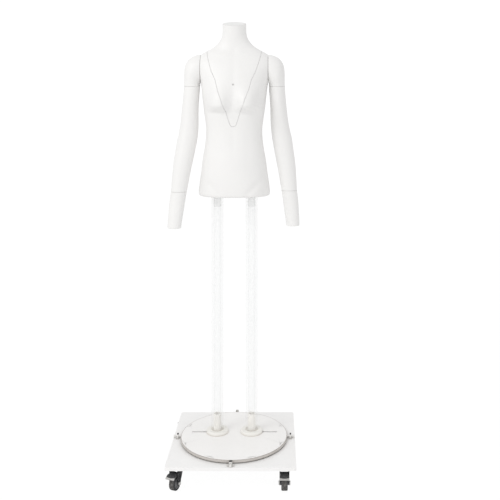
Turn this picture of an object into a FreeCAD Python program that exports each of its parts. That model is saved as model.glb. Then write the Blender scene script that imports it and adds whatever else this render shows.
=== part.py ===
import FreeCAD, Part
import Sketcher
import os
from math import sin, cos, tan, pi, sqrt, radians, exp, hypot

# Display mannequin torso on two legs, with a turntable and a castor base.
# Frame: +Z up, floor at Z 0, front towards -Y, millimetres.
# Left (-X) and right (+X) are as seen by someone facing the front.

Vector = FreeCAD.Vector
Constraint = Sketcher.Constraint
ORIGIN = Vector(0, 0, 0)
X_AXIS, Y_AXIS, Z_AXIS = Vector(1, 0, 0), Vector(0, 1, 0), Vector(0, 0, 1)
SIDES = (("left", -1), ("right", 1))

doc = FreeCAD.newDocument("mannequin")

# ---------------------------------------------------------------- driving dimensions
DIMS = [
    # base board and the pilot holes in it
    ("board_side", 500), ("board_thick", 12), ("board_under", 84), ("board_corner", 10),
    ("board_chamfer", 0.8), ("board_pilot", 1.5), ("race_pilot_depth", 10),
    ("stop_pilot_depth", 9), ("caster_pilot", 2), ("caster_pilot_depth", 9),
    # turntable disc and its edge band
    ("disc_radius", 218), ("disc_thick", 11), ("disc_gap", 3),
    ("trim_wall", 2), ("trim_lip", 18), ("trim_lip_thick", 1.2),
    ("slot_width", 10.4), ("slot_start", 58), ("slot_end", 177),
    ("tslot_width", 24), ("tslot_depth", 5), ("tslot_start", 46), ("tslot_end", 182),
    ("notch_width", 11), ("notch_depth", 10), ("notch_height", 7.5),
    ("disc_screw_ring", 207), ("disc_screw_radius", 1.5), ("disc_screw_head", 2.8),
    # bearing
    ("race_pitch", 45), ("race_inner", 36), ("race_outer", 54), ("race_thick", 3),
    ("ball_radius", 2.5), ("groove_radius", 2.55), ("ball_count", 20), ("cage_thick", 0.8),
    ("recess_radius", 55), ("board_recess", 3), ("disc_recess", 2),
    ("race_screw_ring", 50.4), ("race_screw_hole", 2.7),
    # index stops and pins
    ("stop_ring", 232), ("stop_foot_width", 27), ("stop_foot_depth", 12),
    ("stop_foot_thick", 3), ("stop_post_width", 12), ("stop_post_thick", 6),
    ("stop_height", 18), ("stop_screw_offset", 9.8),
    ("plunger_radius", 3), ("plunger_bore", 3.05), ("plunger_length", 28),
    ("plunger_knob", 5), ("plunger_knob_length", 5), ("plunger_travel", 6),
    ("plunger_lift", 3.6),
    # castors
    ("caster_offset", 205), ("caster_trail", 20), ("wheel_radius", 27.5),
    ("wheel_width", 24), ("hub_radius", 19), ("hub_half", 15.3),
    ("axle_radius", 4), ("hub_bore", 4.05), ("fork_inner", 15.6), ("fork_outer", 18.6),
    ("crown_radius", 23), ("crown_thick", 5), ("plate_side", 60), ("plate_thick", 2.5),
    ("plate_screw_offset", 23), ("kingpin_radius", 5), ("fork_bore", 5.05),
    ("brake_pin", 2.5), ("brake_bore", 2.55), ("brake_half", 15.2),
    ("brake_pedal_half", 18),
    # legs
    ("leg_spacing", 71), ("leg_line", 24), ("foot_radius", 45), ("foot_thick", 12),
    ("stub_radius", 15.9), ("stub_wall", 3.4), ("stub_floor", 6), ("stub_top", 187),
    ("tube_radius", 25), ("tube_bore", 16), ("top_flange_radius", 30),
    ("top_flange_thick", 8), ("top_plug_length", 40), ("leg_travel", 40),
    ("pin_radius", 8), ("pin_height", 46),
    ("clamp_bolt", 4), ("clamp_length", 21), ("clamp_head", 11), ("clamp_head_thick", 3.8),
    # torso and neck
    ("torso_base", 1095), ("torso_top", 1818), ("shell_wall", 4), ("floor_thick", 5),
    ("hip_plate_thick", 6), ("seam_half", 140), ("seam_gap", 0.3),
    ("neck_tilt", 17), ("neck_back", 56.5), ("cap_thick", 3), ("cap_sink", 2.6),
    # arms
    ("shoulder_height", 1617), ("shoulder_line", 22), ("arm_peg", 8), ("arm_bore", 8.08),
    ("arm_wall", 3.5), ("elbow_seam", 1544), ("wrist_seam", 1116), ("arm_end", 972),
    ("arm_lean", 3),
    # release button
    ("button_radius", 4.8), ("button_bore", 4.87), ("button_height", 1549),
]
sheet = doc.addObject("Spreadsheet::Sheet", "Dims")
for row, (alias, value) in enumerate(DIMS, 1):
    sheet.set("A%d" % row, alias)
    sheet.set("B%d" % row, str(value))
    sheet.setAlias("B%d" % row, alias)
doc.recompute()


def dim(alias):
    return float(sheet.get(alias))


# levels as sheet expressions, and the same levels as numbers
BOARD_UNDER = "Dims.board_under"
BOARD_TOP = BOARD_UNDER + " + Dims.board_thick"
DISC_UNDER = BOARD_TOP + " + Dims.disc_gap"
FOOT_TOP = DISC_UNDER + " + Dims.disc_thick + Dims.foot_thick"
board_under_z = dim("board_under")
board_top_z = board_under_z + dim("board_thick")
disc_under_z = board_top_z + dim("disc_gap")
disc_top_z = disc_under_z + dim("disc_thick")
lower_race_z = board_top_z - dim("board_recess")
upper_race_z = disc_under_z + dim("disc_recess") - dim("race_thick")
ball_z = (lower_race_z + dim("race_thick") + upper_race_z) / 2
plunger_z = disc_under_z + dim("plunger_lift")
plate_under_z = board_under_z - dim("plate_thick")
hip_floor_z = dim("torso_base") + dim("floor_thick")

leg_y = dim("leg_line")
shoulder_y, shoulder_z = dim("shoulder_line"), dim("shoulder_height")
half_gap = dim("seam_gap") / 2
torso_side_x = dim("seam_half") - half_gap
arm_side_x = dim("seam_half") + half_gap

# ---------------------------------------------------------------- document helpers
nodes = []


def add_node(obj, label):
    obj.Label = label
    nodes.append(obj)
    return obj


def shape_node(label, shape, placement=None):
    obj = doc.addObject("Part::Feature", label)
    obj.Shape = shape
    obj.Placement = placement or FreeCAD.Placement()
    return add_node(obj, label)


def new_body(label):
    return add_node(doc.addObject("PartDesign::Body", label), label)


def new_sketch(body, name, z_expr=None, role="XY_Plane"):
    plane = next(f for f in body.Origin.OriginFeatures if f.Role == role)
    sketch = body.newObject("Sketcher::SketchObject", name)
    sketch.AttachmentSupport = [(plane, "")]
    sketch.MapMode = "FlatFace"
    if z_expr is not None:
        sketch.setExpression("AttachmentOffset.Base.z", z_expr)
    return sketch


def add_driven(sketch, constraint, expr):
    index = sketch.addConstraint(constraint)
    sketch.setExpression("Constraints[%d]" % index, expr)


def tie_centre(sketch, index, kind, value, axis):
    # signed distance from the origin, or on the axis when the distance is zero
    if value > 0:
        sketch.addConstraint(Constraint(kind, -1, 1, index, 3, value))
    elif value < 0:
        sketch.addConstraint(Constraint(kind, index, 3, -1, 1, -value))
    else:
        sketch.addConstraint(Constraint("PointOnObject", index, 3, axis))


def add_circle(sketch, x, y, radius_expr):
    index = sketch.addGeometry(Part.Circle(Vector(x, y, 0), Z_AXIS, 1.0), False)
    if abs(x) < 1e-9 and abs(y) < 1e-9:
        sketch.addConstraint(Constraint("Coincident", index, 3, -1, 1))
    else:
        tie_centre(sketch, index, "DistanceX", x, -2)
        tie_centre(sketch, index, "DistanceY", y, -1)
    add_driven(sketch, Constraint("Radius", index, 10.0), radius_expr)


def add_lines(sketch, points):
    # closed chain of lines
    count = len(points)
    corners = [Vector(x, y, 0) for x, y in points]
    lines = [sketch.addGeometry(Part.LineSegment(corners[k], corners[(k + 1) % count]), False)
             for k in range(count)]
    for k in range(count):
        sketch.addConstraint(Constraint("Coincident", lines[k], 2, lines[(k + 1) % count], 1))
    return lines


def block(sketch, geometry):
    for index in geometry:
        sketch.addConstraint(Constraint("Block", index))


def add_square(sketch, side_expr):
    lines = add_lines(sketch, [(-10, -10), (10, -10), (10, 10), (-10, 10)])
    sketch.addConstraint(Constraint("Horizontal", lines[0]))
    sketch.addConstraint(Constraint("Horizontal", lines[2]))
    sketch.addConstraint(Constraint("Vertical", lines[1]))
    sketch.addConstraint(Constraint("Vertical", lines[3]))
    sketch.addConstraint(Constraint("Symmetric", lines[0], 1, lines[2], 1, -1, 1))
    add_driven(sketch, Constraint("DistanceX", lines[0], 1, lines[0], 2, 20), side_expr)
    add_driven(sketch, Constraint("DistanceY", lines[1], 1, lines[1], 2, 20), side_expr)


def add_slot(sketch, end_x, other_end_x, y, half):
    # straight slot along X with round ends; the two x values are its extremes
    low = min(end_x, other_end_x) + half
    high = max(end_x, other_end_x) - half
    right_end = Part.Circle(Vector(high, y, 0), Z_AXIS, half)
    left_end = Part.Circle(Vector(low, y, 0), Z_AXIS, half)
    outline = [
        Part.LineSegment(Vector(low, y - half, 0), Vector(high, y - half, 0)),
        Part.ArcOfCircle(right_end, -pi / 2, pi / 2),
        Part.LineSegment(Vector(high, y + half, 0), Vector(low, y + half, 0)),
        Part.ArcOfCircle(left_end, pi / 2, 3 * pi / 2),
    ]
    pieces = [sketch.addGeometry(piece, False) for piece in outline]
    for k in range(4):
        sketch.addConstraint(Constraint("Coincident", pieces[k], 2, pieces[(k + 1) % 4], 1))
    block(sketch, pieces)


def finish(body, sketch, feature):
    sketch.Visibility = False
    body.Tip = feature
    return feature


def pad(body, sketch, name, length_expr):
    feature = body.newObject("PartDesign::Pad", name)
    feature.Profile = sketch
    feature.setExpression("Length", length_expr)
    return finish(body, sketch, feature)


def pocket(body, sketch, name, depth_expr=None, upward=False):
    # without a depth the pocket goes through everything
    feature = body.newObject("PartDesign::Pocket", name)
    feature.Profile = sketch
    if depth_expr is None:
        feature.Type = "ThroughAll"
    else:
        feature.setExpression("Length", depth_expr)
    feature.Reversed = upward
    return finish(body, sketch, feature)


def revolve(body, sketch, name, kind="PartDesign::Revolution"):
    feature = body.newObject(kind, name)
    feature.Profile = sketch
    feature.ReferenceAxis = (sketch, ["V_Axis"])
    feature.Angle = 360.0
    return finish(body, sketch, feature)


def drill(body, name, z_expr, points, radius_expr, depth_expr=None, upward=False):
    sketch = new_sketch(body, name + "_holes", z_expr)
    for x, y in points:
        add_circle(sketch, x, y, radius_expr)
    pocket(body, sketch, name + "_pocket", depth_expr, upward)


def bound_cylinder(name, radius_expr, height_expr, x, y, z):
    obj = doc.addObject("Part::Cylinder", name)
    obj.setExpression("Radius", radius_expr)
    obj.setExpression("Height", height_expr)
    obj.Placement = FreeCAD.Placement(Vector(x, y, z), FreeCAD.Rotation())
    return obj


def cut(name, base, tool):
    obj = doc.addObject("Part::Cut", name)
    obj.Base, obj.Tool = base, tool
    return obj


def fuse(name, *objs):
    obj = doc.addObject("Part::MultiFuse", name)
    obj.Shapes = list(objs)
    obj.Refine = True
    return obj


# ---------------------------------------------------------------- solid helpers
def cylinder(radius, height, x=0, y=0, z=0, axis=Z_AXIS):
    return Part.makeCylinder(radius, height, Vector(x, y, z), axis)


def box(length, width, height, x, y, z):
    return Part.makeBox(length, width, height, Vector(x, y, z))


def prism_x(profile, x, length):
    # profile of (y, z) points, extruded along X
    corners = [Vector(x, y, z) for y, z in profile]
    return Part.Face(Part.makePolygon(corners + [corners[0]])).extrude(Vector(length, 0, 0))


def ring_points(radius, count, first_angle=0.0):
    angles = [radians(first_angle + 360.0 / count * k) for k in range(count)]
    return [(radius * cos(a), radius * sin(a)) for a in angles]


def edges_above(shape, z):
    return [e for e in shape.Edges if e.BoundBox.ZMin > z]


def edges_below(shape, z):
    return [e for e in shape.Edges if e.BoundBox.ZMax < z]


def largest(shape):
    return max(shape.Solids, key=lambda solid: solid.Volume)


def round_screw(x, y, seat_z, head, shank):
    # head: radius, height, edge rounding; shank: radius, length below the seat
    head_radius, head_height, rounding = head
    shank_radius, length = shank
    top = cylinder(head_radius, head_height, x, y, seat_z)
    top = top.makeFillet(rounding, edges_above(top, seat_z + head_height - 0.1))
    return top.fuse(cylinder(shank_radius, length, x, y, seat_z - length)).removeSplitter()


RACE_SCREWS = ring_points(dim("race_screw_ring"), 4, 45)
DISC_SCREWS = ring_points(dim("disc_screw_ring"), 8, 22.5)
STOP_SCREW_SIDES = (-dim("stop_screw_offset"), dim("stop_screw_offset"))

# castor name, x sign, y sign, swivel angle in degrees
CASTERS = [
    ("front_right", 1, -1, 0.0),
    ("front_left", -1, -1, -22.0),
    ("back_right", 1, 1, 180.0),
    ("back_left", -1, 1, -125.0),
]


def caster_centre(x_sign, y_sign):
    return x_sign * dim("caster_offset"), y_sign * dim("caster_offset")


def plate_screw_points(x, y):
    offset = dim("plate_screw_offset")
    return [(x + i * offset, y + j * offset) for i in (-1, 1) for j in (-1, 1)]


# ---------------------------------------------------------------- base board
def build_base_board():
    body = new_body("base_board")
    sketch = new_sketch(body, "board_outline", BOARD_UNDER)
    add_square(sketch, "Dims.board_side")
    board = pad(body, sketch, "board_pad", "Dims.board_thick")
    doc.recompute()

    corners = []
    for i, edge in enumerate(board.Shape.Edges, 1):
        start, end = edge.Vertexes[0].Point, edge.Vertexes[-1].Point
        if abs(start.x - end.x) < 1e-6 and abs(start.y - end.y) < 1e-6:
            corners.append("Edge%d" % i)
    fillet = body.newObject("PartDesign::Fillet", "board_corners")
    fillet.Base = (board, corners)
    fillet.setExpression("Radius", "Dims.board_corner")
    body.Tip = fillet
    doc.recompute()

    top_edges = ["Edge%d" % i for i, edge in enumerate(fillet.Shape.Edges, 1)
                 if edge.BoundBox.ZMin > board_top_z - 0.01]
    chamfer = body.newObject("PartDesign::Chamfer", "board_edge")
    chamfer.Base = (fillet, top_edges)
    chamfer.setExpression("Size", "Dims.board_chamfer")
    body.Tip = chamfer

    sketch = new_sketch(body, "bearing_recess", BOARD_TOP)
    add_circle(sketch, 0, 0, "Dims.recess_radius")
    pocket(body, sketch, "bearing_recess_pocket", "Dims.board_recess")

    drill(body, "ring_screw", BOARD_TOP, RACE_SCREWS, "Dims.board_pilot",
          "Dims.race_pilot_depth")
    stop_points = []
    for k in range(4):
        a = radians(90 * k)
        for side in STOP_SCREW_SIDES:
            stop_points.append((dim("stop_ring") * cos(a) - side * sin(a),
                                dim("stop_ring") * sin(a) + side * cos(a)))
    drill(body, "stop_screw", BOARD_TOP, stop_points, "Dims.board_pilot",
          "Dims.stop_pilot_depth")
    caster_points = []
    for name, x_sign, y_sign, swivel in CASTERS:
        caster_points += plate_screw_points(*caster_centre(x_sign, y_sign))
    drill(body, "castor_screw", BOARD_UNDER, caster_points, "Dims.caster_pilot",
          "Dims.caster_pilot_depth", upward=True)


# ---------------------------------------------------------------- turntable
def cut_rim_notches(body, name):
    # four notches in the rim, open at the underside
    half = dim("notch_width") / 2
    inner = dim("disc_radius") - dim("notch_depth")
    outer = inner + 30
    sketch = new_sketch(body, name, DISC_UNDER)
    block(sketch, add_lines(sketch, [(inner, -half), (outer, -half), (outer, half),
                                     (inner, half)]))
    notch = pocket(body, sketch, name + "_pocket", "Dims.notch_height", upward=True)
    pattern = body.newObject("PartDesign::PolarPattern", name + "_pattern")
    pattern.Originals = [notch]
    pattern.Axis = (sketch, ["N_Axis"])
    pattern.Angle = 360
    pattern.Occurrences = 4
    body.Tip = pattern


def cut_leg_slots(body, kind, start, end, width, pocket_name, depth_expr):
    sketch = new_sketch(body, kind, DISC_UNDER)
    for name, side in SIDES:
        add_slot(sketch, side * dim(start), side * dim(end), leg_y, dim(width) / 2)
    pocket(body, sketch, pocket_name, depth_expr, upward=True)


def build_turntable_disc():
    body = new_body("turntable_disc")
    sketch = new_sketch(body, "disc_outline", DISC_UNDER)
    add_circle(sketch, 0, 0, "Dims.disc_radius - Dims.trim_wall")
    pad(body, sketch, "disc_pad", "Dims.disc_thick")
    sketch = new_sketch(body, "disc_recess_outline", DISC_UNDER)
    add_circle(sketch, 0, 0, "Dims.recess_radius")
    pocket(body, sketch, "disc_recess_pocket", "Dims.disc_recess", upward=True)

    # rebate under the rim for the lip of the edge band
    sketch = new_sketch(body, "lip_rebate_outline", DISC_UNDER)
    add_circle(sketch, 0, 0, "Dims.disc_radius + 2")
    add_circle(sketch, 0, 0, "Dims.disc_radius - Dims.trim_lip - 0.1")
    pocket(body, sketch, "lip_rebate_pocket", "Dims.trim_lip_thick", upward=True)
    doc.recompute()

    # a through slot for each leg bolt, widened underneath for the bolt head
    cut_leg_slots(body, "leg_slots", "slot_start", "slot_end", "slot_width",
                  "leg_slot_pocket", None)
    cut_leg_slots(body, "leg_tslots", "tslot_start", "tslot_end", "tslot_width",
                  "leg_tslot_pocket", "Dims.tslot_depth")
    cut_rim_notches(body, "rim_notch")
    drill(body, "disc_screw", DISC_UNDER, DISC_SCREWS, "Dims.disc_screw_radius + 0.1",
          upward=True)


def build_edge_band():
    # thin wall round the rim with an inward lip under the disc
    bevel = 0.4
    radius = dim("disc_radius")
    wall_inner = radius - dim("trim_wall")
    lip_inner = radius - dim("trim_lip")
    lip_top = disc_under_z + dim("trim_lip_thick")
    body = new_body("turntable_edge_band")
    sketch = new_sketch(body, "band_profile", role="XZ_Plane")
    block(sketch, add_lines(sketch, [
        (lip_inner, disc_under_z), (radius - bevel, disc_under_z),
        (radius, disc_under_z + bevel), (radius, disc_top_z - bevel),
        (radius - bevel, disc_top_z), (wall_inner, disc_top_z),
        (wall_inner, lip_top), (lip_inner, lip_top)]))
    revolve(body, sketch, "band_ring")
    cut_rim_notches(body, "band_notch")
    drill(body, "band_screw", DISC_UNDER, DISC_SCREWS, "Dims.disc_screw_radius", upward=True)
    doc.recompute()


def build_disc_screws():
    # slotted heads standing on the disc
    head_height, slot_width, slot_depth = 0.6, 0.7, 0.4
    head_radius = dim("disc_screw_head")
    slot_half = head_radius * 0.8
    screws = []
    for x, y in DISC_SCREWS:
        head = cylinder(head_radius, head_height, x, y, disc_top_z)
        shank = cylinder(dim("disc_screw_radius"), disc_top_z - disc_under_z,
                         x, y, disc_under_z)
        slot = box(2 * slot_half, slot_width, slot_depth,
                   x - slot_half, y - slot_width / 2, disc_top_z + 0.3)
        screws.append(head.fuse(shank).removeSplitter().cut(slot))
    shape_node("disc_screws", Part.makeCompound(screws))


# ---------------------------------------------------------------- bearing
def build_race(label, z):
    inner, outer, top = dim("race_inner"), dim("race_outer"), z + dim("race_thick")
    body = new_body(label)
    sketch = new_sketch(body, label + "_profile", role="XZ_Plane")
    block(sketch, add_lines(sketch, [(inner, z), (outer, z), (outer, top), (inner, top)]))
    revolve(body, sketch, label + "_ring")
    sketch = new_sketch(body, label + "_groove_profile", role="XZ_Plane")
    circle = Part.Circle(Vector(dim("race_pitch"), ball_z, 0), Z_AXIS, dim("groove_radius"))
    block(sketch, [sketch.addGeometry(circle, False)])
    revolve(body, sketch, label + "_groove", "PartDesign::Groove")
    return body


def build_bearing():
    lower = build_race("bearing_lower_race", lower_race_z)
    drill(lower, "race_screw", BOARD_UNDER, RACE_SCREWS, "Dims.race_screw_hole", upward=True)
    build_race("bearing_upper_race", upper_race_z)
    doc.recompute()

    # screws of the lower race: head in the race, shank in the board
    head_radius, head_height, shank_radius, length = 2.6, 2.6, 1.4, 6.8
    screws = []
    for x, y in RACE_SCREWS:
        head = cylinder(head_radius, head_height, x, y, lower_race_z)
        shank = cylinder(shank_radius, length, x, y, lower_race_z - length)
        screws.append(head.fuse(shank).removeSplitter())
    shape_node("bearing_screws", Part.makeCompound(screws))

    pitch, ball, thick = dim("race_pitch"), dim("ball_radius"), dim("cage_thick")
    centres = ring_points(pitch, int(dim("ball_count")))
    balls = [Part.makeSphere(ball, Vector(x, y, ball_z)) for x, y in centres]
    shape_node("bearing_balls", Part.makeCompound(balls))

    cage_half = 6
    cage = cylinder(pitch + cage_half, thick, z=ball_z - thick / 2)
    cage = cage.cut(cylinder(pitch - cage_half, thick + 2, z=ball_z - thick / 2 - 1))
    for x, y in centres:
        cage = cage.cut(cylinder(ball + 0.05, 4, x, y, ball_z - 2))
    shape_node("bearing_cage", cage)


# ---------------------------------------------------------------- index stops
def build_index_stops():
    # each is a foot and a post with rounded top corners, bored for its pin
    ring = dim("stop_ring")
    depth, width = dim("stop_foot_depth"), dim("stop_foot_width")
    post_thick, post_width = dim("stop_post_thick"), dim("stop_post_width")
    top_z = board_top_z + dim("stop_height")
    stops = []
    for k in range(4):
        foot = box(depth, width, dim("stop_foot_thick"),
                   ring - depth / 2, -width / 2, board_top_z)
        post = box(post_thick, post_width, dim("stop_height"),
                   ring - post_thick / 2, -post_width / 2, board_top_z)
        post = post.makeFillet(2.5, [e for e in edges_above(post, top_z - 0.01)
                                     if e.BoundBox.YLength < 0.01])
        stop = foot.fuse(post).removeSplitter()
        stop = stop.cut(cylinder(dim("plunger_bore"), 40, ring - 20, 0, plunger_z, X_AXIS))
        for side in STOP_SCREW_SIDES:
            stop = stop.cut(cylinder(1.6, 10, ring, side, board_top_z - 1))
        stop.rotate(ORIGIN, Z_AXIS, 90 * k)
        stops.append(stop)
    shape_node("index_stops", Part.makeCompound(stops))


def build_index_stop_screws():
    seat_z = board_top_z + dim("stop_foot_thick")
    screws = []
    for k in range(4):
        for side in STOP_SCREW_SIDES:
            screw = round_screw(dim("stop_ring"), side, seat_z,
                                head=(2.6, 1.6, 0.6), shank=(1.4, 11))
            screw.rotate(ORIGIN, Z_AXIS, 90 * k)
            screws.append(screw)
    shape_node("index_stop_screws", Part.makeCompound(screws))


def radial_cylinder(name, size_alias, length_alias, radius, angle):
    # axis points outward from the turntable centre
    obj = bound_cylinder(name, "Dims." + size_alias, "Dims." + length_alias, 0, 0, 0)
    turn = FreeCAD.Rotation(Z_AXIS, angle).multiply(FreeCAD.Rotation(Y_AXIS, 90))
    a = radians(angle)
    obj.Placement = FreeCAD.Placement(Vector(radius * cos(a), radius * sin(a), plunger_z), turn)
    return obj


def build_index_pins():
    # drawn back: the tip stands clear of the disc rim, the knob clear of the stop
    tip_radius = dim("disc_radius") + 1.0
    knob_radius = dim("stop_ring") + dim("stop_foot_depth") / 2 + dim("plunger_travel") + 0.4
    for k, name in enumerate(("right", "back", "left", "front")):
        shank = radial_cylinder("plunger_shank_" + name, "plunger_radius", "plunger_length",
                                tip_radius, 90 * k)
        knob = radial_cylinder("plunger_knob_" + name, "plunger_knob", "plunger_knob_length",
                               knob_radius, 90 * k)
        label = "index_pin_" + name
        add_node(fuse(label, shank, knob), label)
    doc.recompute()


# ---------------------------------------------------------------- castors
fork_inner, fork_outer = dim("fork_inner"), dim("fork_outer")
wheel_y, wheel_z = -dim("caster_trail"), dim("wheel_radius")
fork_top_z = plate_under_z - 0.15
# cross pin of the brake
BRAKE_PIN_Y, BRAKE_PIN_Z = -22, 66


def caster_plate(x, y):
    side, thick = dim("plate_side"), dim("plate_thick")
    plate = box(side, side, thick, x - side / 2, y - side / 2, plate_under_z)
    plate = plate.makeFillet(6, [e for e in plate.Edges if e.BoundBox.XLength < 0.01
                                 and e.BoundBox.YLength < 0.01])
    kingpin_z = plate_under_z - 11.5
    kingpin = cylinder(dim("kingpin_radius"), 12, x, y, kingpin_z)
    cap_z = kingpin_z - 1.4
    cap = cylinder(8, 2.6, x, y, cap_z)
    cap = cap.makeFillet(1.0, edges_below(cap, cap_z + 0.1))
    plate = plate.fuse(kingpin).fuse(cap).removeSplitter()
    for hole_x, hole_y in plate_screw_points(x, y):
        plate = plate.cut(cylinder(2.1, 10, hole_x, hole_y, board_under_z - 6))
    return plate


def caster_screw(x, y):
    # head below the plate, shank up into the board
    head_height = 2.2
    head_z = plate_under_z - head_height
    head = cylinder(4, head_height, x, y, head_z)
    head = head.makeFillet(0.9, edges_below(head, head_z + 0.1))
    return head.fuse(cylinder(1.9, 11, x, y, plate_under_z)).removeSplitter()


def build_caster_mounts():
    centres = [caster_centre(x_sign, y_sign) for name, x_sign, y_sign, swivel in CASTERS]
    shape_node("caster_plates", Part.makeCompound([caster_plate(x, y) for x, y in centres]))
    screws = [caster_screw(*point) for x, y in centres for point in plate_screw_points(x, y)]
    shape_node("caster_screws", Part.makeCompound(screws))


# The castor parts below are drawn about the kingpin axis, wheel trailing towards -Y.
def caster_fork():
    # two cheeks joined by a crown; cheek outline in (y, z)
    top = fork_top_z
    cheek = [
        (20, top), (-24, top), (-31, top - 6), (-31.5, top - 22),
        (-29.5, wheel_z - 1), (-26, wheel_z - 7), (-20, wheel_z - 9.5),
        (-14, wheel_z - 7), (-9, wheel_z + 3), (6, top - 20), (20, top - 6),
    ]
    thick = dim("crown_thick")
    left = prism_x(cheek, -fork_outer, fork_outer - fork_inner)
    right = prism_x(cheek, fork_inner, fork_outer - fork_inner)
    crown = cylinder(dim("crown_radius"), thick, z=top - thick)
    bridge = box(2 * fork_outer, 44, thick, -fork_outer, -24, top - thick)
    crown = crown.common(box(2 * fork_outer + 6, 100, 50, -fork_outer - 3, -50, top - 25))
    fork = left.fuse([right, crown, bridge]).removeSplitter()
    # round top: clears the heads of the plate screws as it swivels
    clearance = cylinder(70, 4, z=plate_under_z - 2.45)
    fork = fork.cut(clearance.cut(cylinder(28.2, 5, z=plate_under_z - 2.7)))
    fork = fork.cut(cylinder(dim("fork_bore"), 40, z=top - 20))
    fork = fork.cut(cylinder(dim("axle_radius"), 60, -30, wheel_y, wheel_z, X_AXIS))
    return fork.cut(cylinder(dim("brake_bore"), 60, -30, BRAKE_PIN_Y, BRAKE_PIN_Z, X_AXIS))


def axle_hexagon(x, length, across_flats=12.6):
    corner = across_flats / sqrt(3)
    return prism_x([(wheel_y + corner * cos(radians(60 * k)),
                     wheel_z + corner * sin(radians(60 * k))) for k in range(6)], x, length)


def caster_axle():
    # bolt with its head on the -X cheek and its nut on the +X cheek
    shaft = cylinder(dim("axle_radius"), 2 * fork_outer + 4.5, -fork_outer, wheel_y, wheel_z,
                     X_AXIS)
    head = axle_hexagon(-fork_outer - 4.2, 4.2)
    nut = axle_hexagon(fork_outer, 4.0)
    return shaft.fuse([head, nut]).removeSplitter()


def caster_hub():
    # section in (radius, x), turned about the axle
    bore, rim, half = dim("hub_bore"), dim("hub_radius"), dim("hub_half")
    section = [
        (bore, -half), (8, -half), (9, -9), (15, -7), (16, -11), (rim, -11.4),
        (rim, 11.4), (16, 11), (15, 7), (9, 9), (8, half), (bore, half),
    ]
    corners = [Vector(x, wheel_y, wheel_z + radius) for radius, x in section]
    face = Part.Face(Part.makePolygon(corners + [corners[0]]))
    return face.revolve(Vector(0, wheel_y, wheel_z), X_AXIS, 360)


def caster_tyre():
    radius, width = dim("wheel_radius"), dim("wheel_width")

    def disc(disc_radius, thick, x):
        return cylinder(disc_radius, thick, x, wheel_y, wheel_z, X_AXIS)

    tyre = disc(radius, width, -width / 2)
    tyre = tyre.makeFillet(5.0, [e for e in tyre.Edges if e.BoundBox.XLength < 0.01])
    tyre = tyre.cut(disc(dim("hub_radius"), width + 2, -width / 2 - 1))
    # two shallow tread grooves
    for groove_x in (-5.2, 4.0):
        groove = disc(radius + 1, 1.2, groove_x)
        tyre = tyre.cut(groove.cut(disc(radius - 0.9, 1.2, groove_x)))
    return tyre


def caster_brake():
    # pedal that tips about a cross pin; outlines in (y, z)
    half, pedal_half = dim("brake_half"), dim("brake_pedal_half")
    core_outline = [
        (-17.5, 67.5), (-22, 70.5), (-30, 70), (-42, 66.5), (-42, 62.5),
        (-36.5, 62.5), (-36, 56.5), (-33.5, 57.2), (-28, 61), (-20, 62),
    ]
    pedal_outline = [
        (-41, 66.8), (-56, 62.5), (-61, 58.5), (-60, 55.5), (-55, 58.3), (-41, 62.5),
    ]
    core = prism_x(core_outline, -half, 2 * half)
    pedal = prism_x(pedal_outline, -pedal_half, 2 * pedal_half)
    pin = cylinder(dim("brake_pin"), 2 * fork_outer, -fork_outer, BRAKE_PIN_Y, BRAKE_PIN_Z,
                   X_AXIS)
    return core.fuse([pedal, pin]).removeSplitter()


def build_casters():
    build_caster_mounts()
    parts = (("fork", caster_fork), ("axle", caster_axle), ("hub", caster_hub),
             ("tyre", caster_tyre), ("brake", caster_brake))
    for name, x_sign, y_sign, swivel in CASTERS:
        x, y = caster_centre(x_sign, y_sign)
        placement = FreeCAD.Placement(Vector(x, y, 0), FreeCAD.Rotation(Z_AXIS, swivel))
        for part, make in parts:
            shape_node("caster_%s_%s" % (part, name), make(), placement)


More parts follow.
